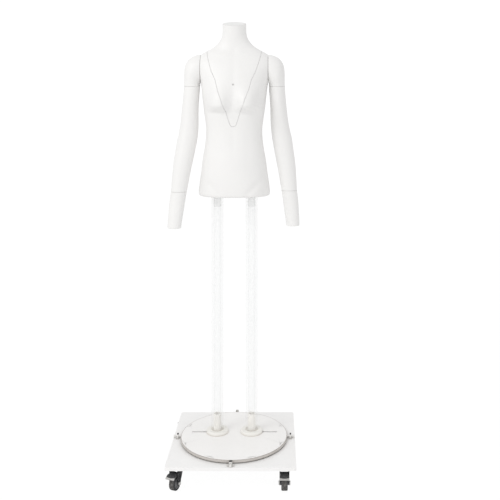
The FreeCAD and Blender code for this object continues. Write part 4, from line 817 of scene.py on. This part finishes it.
for lp in loops:
    pts = np.array([tv[i] for i in lp])
    if len(lp) < 20:
        continue
    if pts[:, 2].max() < 1096.0:
        # floor: rings towards the middle, then the slots are cut in the last band of cells
        c = np.array([0.0, LY, 1095.0])
        prev = lp
        n = 64
        for s in range(1, n + 1):
            w = 1 - s / n
            cur = []
            for i in lp:
                p = np.array(tv[i])
                q = c + (p - c) * w
                tv.append([q[0], q[1], 1095.0])
                cur.append(len(tv) - 1)
            m = len(lp)
            for k in range(m):
                a, b, cc, dd = prev[k], prev[(k + 1) % m], cur[(k + 1) % m], cur[k]
                quad = np.array([tv[a], tv[b], tv[cc], tv[dd]])
                if slot_distance(quad[:, 0].mean(), quad[:, 1].mean()) > 0:
                    tt.append([a, dd, b])
                    tt.append([b, dd, cc])
            prev = cur
    elif abs(abs(pts[:, 0].mean()) - SH) < 1.0:
        # flat side in the shoulder seam plane, down to the socket rim
        sx = 1.0 if pts[:, 0].mean() > 0 else -1.0
        prev = lp
        for s in range(1, 5):
            w = s / 4.0
            cur = []
            for i in lp:
                p = np.array(tv[i])
                dy, dz = p[1] - SYL, p[2] - SZH
                r = math.hypot(dy, dz)
                t = (r * (1 - w) + 20.0 * w) / r
                tv.append([sx * SH, SYL + dy * t, SZH + dz * t])
                cur.append(len(tv) - 1)
            m = len(lp)
            for k in range(m):
                a, b, cc, dd = prev[k], prev[(k + 1) % m], cur[(k + 1) % m], cur[k]
                tt.append([a, dd, b])
                tt.append([b, dd, cc])
            prev = cur
print("torso loops", [len(l) for l in loops])
tv = np.array(tv) * MM
torso_ob = make_object("torso_skin", tv, tt, [MAT["body"]])


def solidify(ob, t=0.0036):
    s = ob.modifiers.new("wall", "SOLIDIFY")
    s.thickness = t
    s.offset = -1.0
    s.use_rim = True
    s.use_even_offset = False
    return s


def orient_out(ob):
    """Faces of an open skin all look away from the body's middle line."""
    me = ob.data
    c = np.zeros(len(me.polygons) * 3)
    n = np.zeros(len(me.polygons) * 3)
    me.polygons.foreach_get("center", c)
    me.polygons.foreach_get("normal", n)
    c, n = c.reshape(-1, 3), n.reshape(-1, 3)
    d = c - np.array([0, 0.015, 0])
    d[:, 2] = 0
    sgn = (d * n).sum(axis=1)
    if np.median(sgn) < 0:
        me.flip_normals()


orient_out(torso_ob)
solidify(torso_ob)
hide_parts("torso_shell")
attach(torso_ob, "torso")

# ---- insert: neck, chest and yoke, with the hook tab
iv, it, used_i = sub_mesh(is_insert, 1)
insert_ob = make_object("insert_skin", iv * MM, it, [MAT["body"]])
orient_out(insert_ob)
solidify(insert_ob)
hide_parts("neck_insert")
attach(insert_ob, "insert")

# hook tab behind the V tip
yw = float(body_xy(np.array([-pi / 2]), np.array([1395.0]))[1][0])


def box_piece(name, lo, hi, mat, bev=0.0012):
    x0, y0, z0 = [v * MM for v in lo]
    x1, y1, z1 = [v * MM for v in hi]
    v = [(x0, y0, z0), (x1, y0, z0), (x1, y1, z0), (x0, y1, z0), (x0, y0, z1), (x1, y0, z1), (x1, y1, z1), (x0, y1, z1)]
    f = [(0, 3, 2, 1), (4, 5, 6, 7), (0, 1, 5, 4), (1, 2, 6, 5), (2, 3, 7, 6), (3, 0, 4, 7)]
    ob = make_object(name, v, f, [mat], smooth=False)
    b = ob.modifiers.new("round", "BEVEL")
    b.width, b.segments = bev, 3
    return ob


tab = box_piece("insert_hook_tab", (-10, yw + 5.6, 1354), (10, yw + 9.4, 1408), MAT["body"])
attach(tab, "insert")

# ---- shoulder caps and arms
AZ = [1544.0, 1489.0, 1448.0, 1406.0, 1365.0, 1324.0, 1283.0, 1241.0, 1200.0, 1159.0, 1118.0, 1076.0, 1035.0, 994.0, 965.0]
AX = [176.0, 180.0, 183.0, 186.0, 191.0, 198.0, 204.0, 211.0, 217.0, 222.0, 226.5, 232.0, 236.0, 240.0, 241.5]
AW = [33.0, 33.2, 34.3, 36.3, 39.0, 41.4, 40.2, 38.8, 36.8, 34.7, 32.4, 31.4, 30.2, 28.2, 27.0]
AD = [38.0, 37.5, 37.5, 38.0, 38.5, 39.5, 40.0, 38.5, 36.0, 33.5, 31.0, 28.5, 26.5, 25.0, 24.0]
AY = [22.0, 22.5, 22.0, 20.5, 17.5, 13.0, 8.0, 2.0, -4.5, -11.0, -17.5, -24.0, -30.5, -36.5, -40.5]
LEAN = math.tan(math.radians(3.0))
AM = 96


def arm_table(t):
    zz = np.arange(960.0, 1550.0, 1.0)
    v = np.array([hermite(AZ[::-1], t[::-1], z) for z in zz])
    r = 27
    k = np.exp(-0.5 * (np.arange(-r, r + 1) / 9.0) ** 2)
    k /= k.sum()
    e_ = np.concatenate([2 * v[0] - v[r:0:-1], v, 2 * v[-1] - v[-2:-r - 2:-1]])
    return zz, np.convolve(e_, k, "valid")


ATAB = [arm_table(t) for t in (AX, AW, AD, AY)]


def arm_at(z, sgn=1):
    cx, hw, hd, cy = [float(np.interp(z, zz, v)) for zz, v in ATAB]
    # below the elbow seam the arms hang a little unevenly: the left one closer in
    t = min(1.0, max(0.0, (1460.0 - z) / 130.0))
    t = t * t * (3 - 2 * t)
    return [cx + (0.5 if sgn > 0 else -4.5) * t, hw, hd, cy]


def arm_ring(z, sgn, inset=0.0):
    cx, hw, hd, cy = arm_at(z, sgn)
    cy += LEAN * (SZH - z) * sgn
    out = []
    for k in range(AM):
        th = 2 * pi * (k + 0.5) / AM
        s, c = math.sin(th), math.cos(th)
        # muscle and bone: fuller at the outside above the elbow, at the inside below it
        up = math.exp(-((z - 1455.0) / 70.0) ** 2)
        el = math.exp(-((z - 1312.0) / 30.0) ** 2)
        fo = math.exp(-((z - 1235.0) / 60.0) ** 2)
        dr = 1.2 * up * math.exp(-((th - 0.9) / 0.9) ** 2) - 1.0 * up * math.exp(-((th - 2.4) / 0.5) ** 2)
        dr += 2.0 * el * math.exp(-((th - 0.5) / 0.45) ** 2) - 1.2 * el * math.exp(-((th - 4.2) / 0.6) ** 2)
        dr += 1.2 * fo * math.exp(-((th - 2.0) / 0.8) ** 2)
        out.append((sgn * (cx + (hw - inset + dr) * s), cy + (hd - inset + dr) * c, z))
    return out


def circle_ring(cx, cy, z, r, sgn):
    return [(sgn * (cx + r * math.sin(2 * pi * (k + 0.5) / AM)), cy + r * math.cos(2 * pi * (k + 0.5) / AM), z) for k in range(AM)]


def mix_ring(a, b, w):
    return [tuple(p[i] * (1 - w) + q[i] * w for i in range(3)) for p, q in zip(a, b)]


def hole_outline():
    """Outline of the body in the shoulder seam plane, by angle round the shoulder centre."""
    n = 4000
    out = []
    zs = np.linspace(1540.0, 1690.0, 601)
    th = np.linspace(-pi / 2, pi / 2, 721)
    T, Z = np.meshgrid(th, zs)
    x, y = body_xy(T, Z)
    pts = []
    for i in range(len(zs)):
        xs = x[i] - SH
        idx = np.nonzero((xs[:-1] < 0) != (xs[1:] < 0))[0]
        for j in idx:
            t = xs[j] / (xs[j] - xs[j + 1])
            pts.append((y[i, j] + t * (y[i, j + 1] - y[i, j]), zs[i]))
    pts = np.array(pts)
    ang = np.arctan2(pts[:, 1] - SZH, pts[:, 0] - SYL)
    rad = np.hypot(pts[:, 1] - SZH, pts[:, 0] - SYL)
    o = np.argsort(ang)
    ang, rad = ang[o], rad[o]
    ang = np.concatenate([ang - 2 * pi, ang, ang + 2 * pi])
    rad = np.concatenate([rad] * 3)
    for k in range(AM):
        a = 2 * pi * (k + 0.5) / AM
        w = np.exp(-((ang - a) / 0.035) ** 2) + np.exp(-((ang - a + 2 * pi) / 0.035) ** 2)
        r = float((w * rad).sum() / w.sum())
        out.append((SYL + r * math.cos(a), SZH + r * math.sin(a)))
    return out


HOLE = hole_outline()
PIV = (138.5, 1549.0)
FAN_ANG = [0, 10.5, 23, 36.5, 50, 63, 77, 90]
FAN_OUT = [129.0, 121.5, 115.5, 100.0, 84.5, 76.0, 71.5, 70.5]
fa = np.arange(0, 91.0, 1.0)
fo_ = np.array([hermite(FAN_ANG, FAN_OUT, a) for a in fa])
k_ = np.exp(-0.5 * (np.arange(-15, 16) / 5.0) ** 2)
k_ /= k_.sum()
fo_ = np.convolve(np.concatenate([2 * fo_[0] - fo_[15:0:-1], fo_, 2 * fo_[-1] - fo_[-2:-17:-1]]), k_, "valid")


def fan_ring(phi, sgn):
    dout = float(np.interp(phi, fa, fo_))
    t = phi / 90.0
    din = 6.0 * (1 - t) + 4.5 * t
    cr, hr = (dout + din) / 2, (dout - din) / 2
    hd = 58.0 + (38.0 - 58.0) * (t ** 0.8)
    a = math.radians(phi)
    lean = LEAN * sgn
    out = []
    for k in range(AM):
        th = 2 * pi * (k + 0.5) / AM
        rad = cr + hr * math.sin(th)
        yy = SYL + hd * math.cos(th)
        hy, hz = HOLE[k]
        wg = (1 - t) ** 2.2 * (1 - t * t * 0.5)
        rad = rad * (1 - wg) + (hz - PIV[1]) * wg
        yy = yy * (1 - wg) + hy * wg
        x = PIV[0] + rad * math.sin(a)
        z = PIV[1] + rad * math.cos(a)
        out.append((sgn * x, yy + lean * max(0.0, SZH - z) * t, z))
    return out


G = 0.15
ROUND = [(0.0, 1.0), (0.14, 0.5), (0.42, 0.16), (0.8, 0.03), (1.0, 0.0)]
for nm, sgn in (("left", -1), ("right", 1)):
    cx, hw, hd, cy = arm_at(1544.0)
    cy1 = cy + LEAN * (SZH - 1544.0) * sgn
    cx2, hw2, hd2, cy2 = arm_at(1116.0, sgn)
    cy2 += LEAN * (SZH - 1116.0) * sgn
    # shoulder cap
    x0 = 140.15
    rings = []
    peg = lambda r, x: [(sgn * x, SYL + r * math.cos(2 * pi * (k + 0.5) / AM), SZH + r * math.sin(2 * pi * (k + 0.5) / AM)) for k in range(AM)]
    rings += [peg(7.0, 128.2), peg(7.9, 129.0), peg(7.9, x0)]
    hole = [(sgn * x0, y, z) for y, z in HOLE]
    cen = np.array([sgn * x0, SYL, SZH])

    def shrink(ring, d, x):
        out = []
        for p in ring:
            v = np.array(p) - cen
            v[0] = 0
            l = np.linalg.norm(v)
            q = cen + v * (l - d) / l
            out.append((sgn * x, q[1], q[2]))
        return out
    rings += [mix_ring(peg(7.9, x0), shrink(hole, RS, x0), 0.5)]
    for dd, ii in ROUND:
        rings.append(shrink(hole, RS * ii, x0 + dd * RS))
    first = fan_ring(0, sgn)
    for phi in np.concatenate([np.arange(2.0, 80.0, 2.0), np.arange(80, 90, 2.5)]):
        r = fan_ring(phi, sgn)
        # the rounded edge takes the first two millimetres outside the seam plane
        r = [(sgn * max(abs(p[0]), x0 + RS + 0.02 * phi), p[1], p[2]) for p in r]
        rings.append(r)
    zl = 1544.0 + G
    lev = arm_ring(1547.0, sgn)
    lev = [(p[0], p[1], zl + RS + 0.6) for p in lev]
    rings.append(lev)
    for dd, ii in reversed(ROUND):
        rr = arm_ring(1545.0, sgn, RS * ii)
        rings.append([(p[0], p[1], zl + RS * dd) for p in rr])
    rings += [circle_ring(cx, cy1, zl, 8.1, sgn), circle_ring(cx, cy1, zl + 14.0, 8.1, sgn)]
    v, f = ring_chain(rings)
    ob = make_object("shoulder_cap_skin_" + nm, np.array(v) * MM, f, [MAT["body"]], sharp_angle=None)
    fix_normals(ob)
    ob.data.set_sharp_from_angle(angle=math.radians(50))
    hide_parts("shoulder_cap_" + nm)
    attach(ob, "shoulder_" + nm)
    # arm
    z1, z0 = 1544.0 - G, 1116.0 + G
    rings = [circle_ring(cx, cy1, z1 + 12.0, 6.8, sgn), circle_ring(cx, cy1, z1 + 11.0, 7.9, sgn), circle_ring(cx, cy1, z1, 7.9, sgn)]
    for dd, ii in ROUND:
        rings.append([(p[0], p[1], z1 - RS * dd) for p in arm_ring(1543.0, sgn, RS * ii)])
    for z in np.arange(z1 - 5.0, z0 + 5.0, -5.0):
        rings.append(arm_ring(z, sgn))
    for dd, ii in reversed(ROUND):
        rings.append([(p[0], p[1], z0 + RS * dd) for p in arm_ring(1117.0, sgn, RS * ii)])
    rings += [circle_ring(cx2, cy2, z0, 8.1, sgn), circle_ring(cx2, cy2, z0 + 14.0, 8.1, sgn)]
    v, f = ring_chain(rings)
    ob = make_object("arm_skin_" + nm, np.array(v) * MM, f, [MAT["body"]])
    fix_normals(ob)
    ob.data.set_sharp_from_angle(angle=math.radians(50))
    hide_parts("arm_" + nm)
    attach(ob, "arm_" + nm)
    # forearm end
    z1, z0 = 1116.0 - G, 972.0
    rings = [circle_ring(cx2, cy2, z1 + 12.0, 6.8, sgn), circle_ring(cx2, cy2, z1 + 11.0, 7.9, sgn), circle_ring(cx2, cy2, z1, 7.9, sgn)]
    for dd, ii in ROUND:
        rings.append([(p[0], p[1], z1 - RS * dd) for p in arm_ring(1115.0, sgn, RS * ii)])
    for z in np.arange(z1 - 5.0, z0 + 5.0, -5.0):
        rings.append(arm_ring(z, sgn))
    for dd, ii in reversed(ROUND):
        rings.append([(p[0], p[1], z0 + 2.4 * dd) for p in arm_ring(973.0, sgn, 2.4 * ii)])
    v, f = ring_chain(rings)
    ob = make_object("forearm_end_skin_" + nm, np.array(v) * MM, f, [MAT["body"]])
    fix_normals(ob)
    ob.data.set_sharp_from_angle(angle=math.radians(50))
    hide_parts("forearm_end_" + nm)
    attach(ob, "forearm_" + nm)

# ---- release button
yb0 = float(body_xy(np.array([-pi / 2]), np.array([1549.0]))[1][0])
prof = rounded([(0, -0.9), (4.8, -0.9), (4.8, 7.6), (7.0, 7.6), (7.0, 9.6), (0, 9.6)], [0, 0.9, 0.3, 0.3, 0.3, 0])
btn = lathe("button_skin", [(r, h) for r, h in prof], [MAT["button"]], seg=48, axis="Y", centre=(0, yb0, 1549.0), closed=False)
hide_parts("release_button")
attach(btn, "button")

# =============================================================== legs
for nm, sgn in (("left", -1), ("right", 1)):
    c = (sgn * LX, LY, 0)
    # foot flange: thin step at its base, rounded shoulder
    prof = rounded([(4, 110), (44.2, 110), (45, 110.8), (45, 119.0), (42.5, 122.0), (29.5, 122.0), (4, 122.0)], [0, 0.3, 0.4, 1.6, 1.8, 0.5, 0], 5)
    ob = lathe("leg_foot_skin_" + nm, prof, [MAT["ivory"]], seg=128, centre=c)
    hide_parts("leg_foot_" + nm)
    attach(ob, "leg_" + nm)
    prof = rounded([(4, 122), (15.9, 122), (15.9, 187), (12.5, 187), (12.5, 128), (4, 128)], [0, 0, 0.9, 0.9, 1.0, 0], 4)
    ob = lathe("leg_stub_skin_" + nm, prof, [MAT["stub"]], seg=96, centre=c)
    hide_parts("leg_stub_" + nm)
    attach(ob, "leg_" + nm)
    prof = rounded([(16.0, 122.05), (25.0, 122.05), (25.0, 1086.95), (16.0, 1086.95)], 0.7, 4)
    ob = lathe("leg_tube_skin_" + nm, prof, [MAT["acrylic"]], seg=160, centre=c, sharp=60)
    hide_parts("leg_tube_" + nm)
    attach(ob, "leg_" + nm)
    prof = rounded([(0, 1047), (15.9, 1047), (15.9, 1087), (30, 1087), (30, 1095), (8, 1095), (8, 1141), (0, 1141)], [0, 1.2, 0, 1.0, 1.0, 0, 1.4, 0], 4)
    milky = [1 if 0.5 * (prof[i][1] + prof[i + 1][1]) < 1095.01 and prof[i + 1][0] > 7.9 else 0 for i in range(len(prof) - 1)]
    ob = lathe("leg_cap_skin_" + nm, prof, [MAT["legcap"], MAT["plug"]], seg=96, centre=c, closed=False, seg_mats=milky)
    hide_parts("leg_cap_" + nm)
    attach(ob, "leg_" + nm)
    cad_finish("leg_clamp_" + nm, MAT["steel"], 0.0003)

# =============================================================== base and turntable
cad_finish("base_board", MAT["board"], 0.0012, 3)
cad_finish("turntable_disc", MAT["disc"], 0.0005)
cad_finish("turntable_edge_band", MAT["rim"], 0.0003)
cad_finish("disc_screws", MAT["steel"], 0.00012)
cad_finish("bearing_lower_race", MAT["steel"], 0.0002)
cad_finish("bearing_upper_race", MAT["steel"], 0.0002)
cad_finish("bearing_screws", MAT["steel"], 0.0002)
cad_finish("bearing_balls", MAT["ball"], 0)
cad_finish("bearing_cage", MAT["brass"], 0.0001)
cad_finish("index_stops", MAT["alu"], 0.0006, 3)
cad_finish("index_stop_screws", MAT["steel"], 0.0002)
for s in ("front", "back", "left", "right"):
    cad_finish("index_pin_" + s, MAT["steel"], 0.0006, 3)
cad_finish("caster_plates", MAT["caster_plate"], 0.0004)
cad_finish("caster_screws", MAT["steel"], 0.0002)
cad_finish("torso_hip_plate", MAT["hipboard"], 0.0008)
cad_finish("torso_plate_screws", MAT["steel"], 0.0002)
cad_finish("shoulder_sockets", MAT["steel"], 0.0004)
cad_finish("neck_cap", MAT["capgrey"], 0.0004)

# =============================================================== casters
CO, TR, WR = 205.0, 20.0, 27.5
CASTERS = [("front_right", 1, -1, 0.0), ("front_left", -1, -1, -22.0), ("back_right", 1, 1, 180.0), ("back_left", -1, 1, -125.0)]


def place_local(ob, sx, sy, yaw, off=(0, 0, 0)):
    """Puts a piece modelled about its own origin (in m) at a place given in the caster's frame (in mm)."""
    r = Matrix.Rotation(math.radians(yaw), 4, "Z")
    ob.matrix_world = Matrix.Translation((sx * CO * MM, sy * CO * MM, 0)) @ r @ Matrix.Translation(tuple(v * MM for v in off))
    bpy.context.view_layer.update()


for nm, sx, sy, yaw in CASTERS:
    # tyre: rounded shoulders, three grooves round the tread, cross cuts at both edges
    prof = [(19.05, -11.6), (21.0, -12.0), (24.0, -12.0), (25.6, -11.4), (26.6, -10.4), (27.15, -9.2), (27.3, -8.0), (27.5, -5.4), (26.5, -5.2), (26.5, -4.2), (27.5, -4.0),
            (27.5, -0.7), (26.6, -0.5), (26.6, 0.5), (27.5, 0.7), (27.5, 4.0), (26.5, 4.2), (26.5, 5.2), (27.5, 5.4), (27.3, 8.0), (27.15, 9.2), (26.6, 10.4), (25.6, 11.4),
            (24.0, 12.0), (21.0, 12.0), (19.05, 11.6)]
    n = len(prof)
    # the middle segments take the lighter tread finish, the painted highlight along the tread
    seg_m = [1 if 5 <= i <= n - 8 else 0 for i in range(n)]
    tyre = lathe("tyre_skin_" + nm, prof, [MAT["tyre"], MAT["tread"]], seg=144, axis="X", seg_mats=seg_m, sharp=35)
    me = tyre.data
    for v in me.vertices:
        x, y, z = v.co
        r = math.hypot(y, z)
        if abs(x) > 0.0056 and r > 0.0258:
            a = math.degrees(math.atan2(z, y)) % 10.0
            if a < 2.4:
                k = (r - 0.0007) / r
                v.co.y, v.co.z = y * k, z * k
    place_local(tyre, sx, sy, yaw, (0, -TR, WR))
    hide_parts("caster_tyre_" + nm)
    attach(tyre, "wheel_" + nm)
    cad_finish("caster_hub_" + nm, MAT["hub"], 0.0005, 3)
    cad_finish("caster_fork_" + nm, MAT["black"], 0.0009, 3)
    cad_finish("caster_axle_" + nm, MAT["steel"], 0.0005, 2)
    cad_finish("caster_brake_" + nm, MAT["pedal"], 0.0008, 3)

# =============================================================== stage, light, camera
fl = make_object("floor", [(-9, -9, 0), (9, -9, 0), (9, 9, 0), (-9, 9, 0)], [(0, 1, 2, 3)], [])
fm = bpy.data.materials.new("floor_white")
nt, N, L = nodes_of(fm)
b = N["Principled BSDF"]
out = N["Material Output"]
set_in(b, "Base Color", (0.93, 0.93, 0.93, 1))
set_in(b, "Roughness", 0.85)
set_in(b, "Specular IOR Level", 0.15)
em = N.new("ShaderNodeEmission")
em.inputs["Strength"].default_value = 1.06
lp = N.new("ShaderNodeLightPath")
seen = N.new("ShaderNodeMath")
seen.operation = "MAXIMUM"
L.new(lp.outputs["Is Camera Ray"], seen.inputs[0])
L.new(lp.outputs["Is Transmission Ray"], seen.inputs[1])
mulf = N.new("ShaderNodeMath")
mulf.operation = "MULTIPLY"
mulf.inputs[1].default_value = 0.90
L.new(seen.outputs["Value"], mulf.inputs[0])
mixs = N.new("ShaderNodeMixShader")
L.new(mulf.outputs["Value"], mixs.inputs["Fac"])
L.new(b.outputs["BSDF"], mixs.inputs[1])
L.new(em.outputs["Emission"], mixs.inputs[2])
L.new(mixs.outputs["Shader"], out.inputs["Surface"])
fl.data.materials.append(fm)

w = bpy.data.worlds.new("studio")
bpy.context.scene.world = w
w.use_nodes = True
nt = w.node_tree
N, L = nt.nodes, nt.links
bg = N["Background"]
bg.inputs["Color"].default_value = (1.0, 1.0, 1.0, 1)
bg.inputs["Strength"].default_value = 0.80
bg2 = N.new("ShaderNodeBackground")
bg2.inputs["Color"].default_value = (1, 1, 1, 1)
bg2.inputs["Strength"].default_value = 1.06
lp = N.new("ShaderNodeLightPath")
mixs = N.new("ShaderNodeMixShader")
cam_or = N.new("ShaderNodeMath")
cam_or.operation = "MAXIMUM"
L.new(lp.outputs["Is Camera Ray"], cam_or.inputs[0])
L.new(lp.outputs["Is Transmission Ray"], cam_or.inputs[1])
L.new(cam_or.outputs["Value"], mixs.inputs["Fac"])
L.new(bg.outputs["Background"], mixs.inputs[1])
L.new(bg2.outputs["Background"], mixs.inputs[2])
L.new(mixs.outputs["Shader"], N["World Output"].inputs["Surface"])


def area(name, loc, target, size, power, color=(1, 1, 1)):
    d = bpy.data.lights.new(name, "AREA")
    d.shape = "RECTANGLE"
    d.size, d.size_y = size
    d.energy = power
    d.color = color
    o = bpy.data.objects.new(name, d)
    o.location = loc
    v = Vector(target) - Vector(loc)
    o.rotation_euler = v.to_track_quat("-Z", "Y").to_euler()
    bpy.context.scene.collection.objects.link(o)
    return o


area("key_left", (-2.2, -2.2, 3.6), (0, 0, 1.25), (1.3, 1.6), 34, (1.0, 0.997, 0.99))
area("fill_low", (0.4, -2.8, 0.5), (0, 0, 0.5), (2.0, 1.0), 6, (1.0, 0.99, 0.975))

cam = bpy.data.cameras.new("photo_camera")
cam.sensor_width = 36
cam.lens = 51.44
cam.clip_end = 50
co = bpy.data.objects.new("photo_camera", cam)
co.location = (0.175, -2.948, 1.4486)
co.rotation_euler = (math.radians(90), 0, 0)
bpy.context.scene.collection.objects.link(co)
bpy.context.scene.camera = co


def front_shift(channel, amount):
    """The lens shift belongs to the level front viewpoint; anywhere else the camera looks straight through its middle."""
    setattr(cam, channel, amount)
    drv = cam.driver_add(channel).driver
    drv.type = "SCRIPTED"
    v = drv.variables.new()
    v.name = "x"
    v.type = "SINGLE_PROP"
    v.targets[0].id_type = "OBJECT"
    v.targets[0].id = co
    v.targets[0].data_path = "location[0]"
    drv.expression = "%.4f if abs(x - 0.175) < 0.0005 else 0.0" % amount


front_shift("shift_x", -0.0532)
front_shift("shift_y", -0.2804)
bpy.context.scene.view_settings.view_transform = "Standard"
bpy.context.scene.view_settings.look = "None"
bpy.context.scene.view_settings.exposure = 0.0

keep_size()
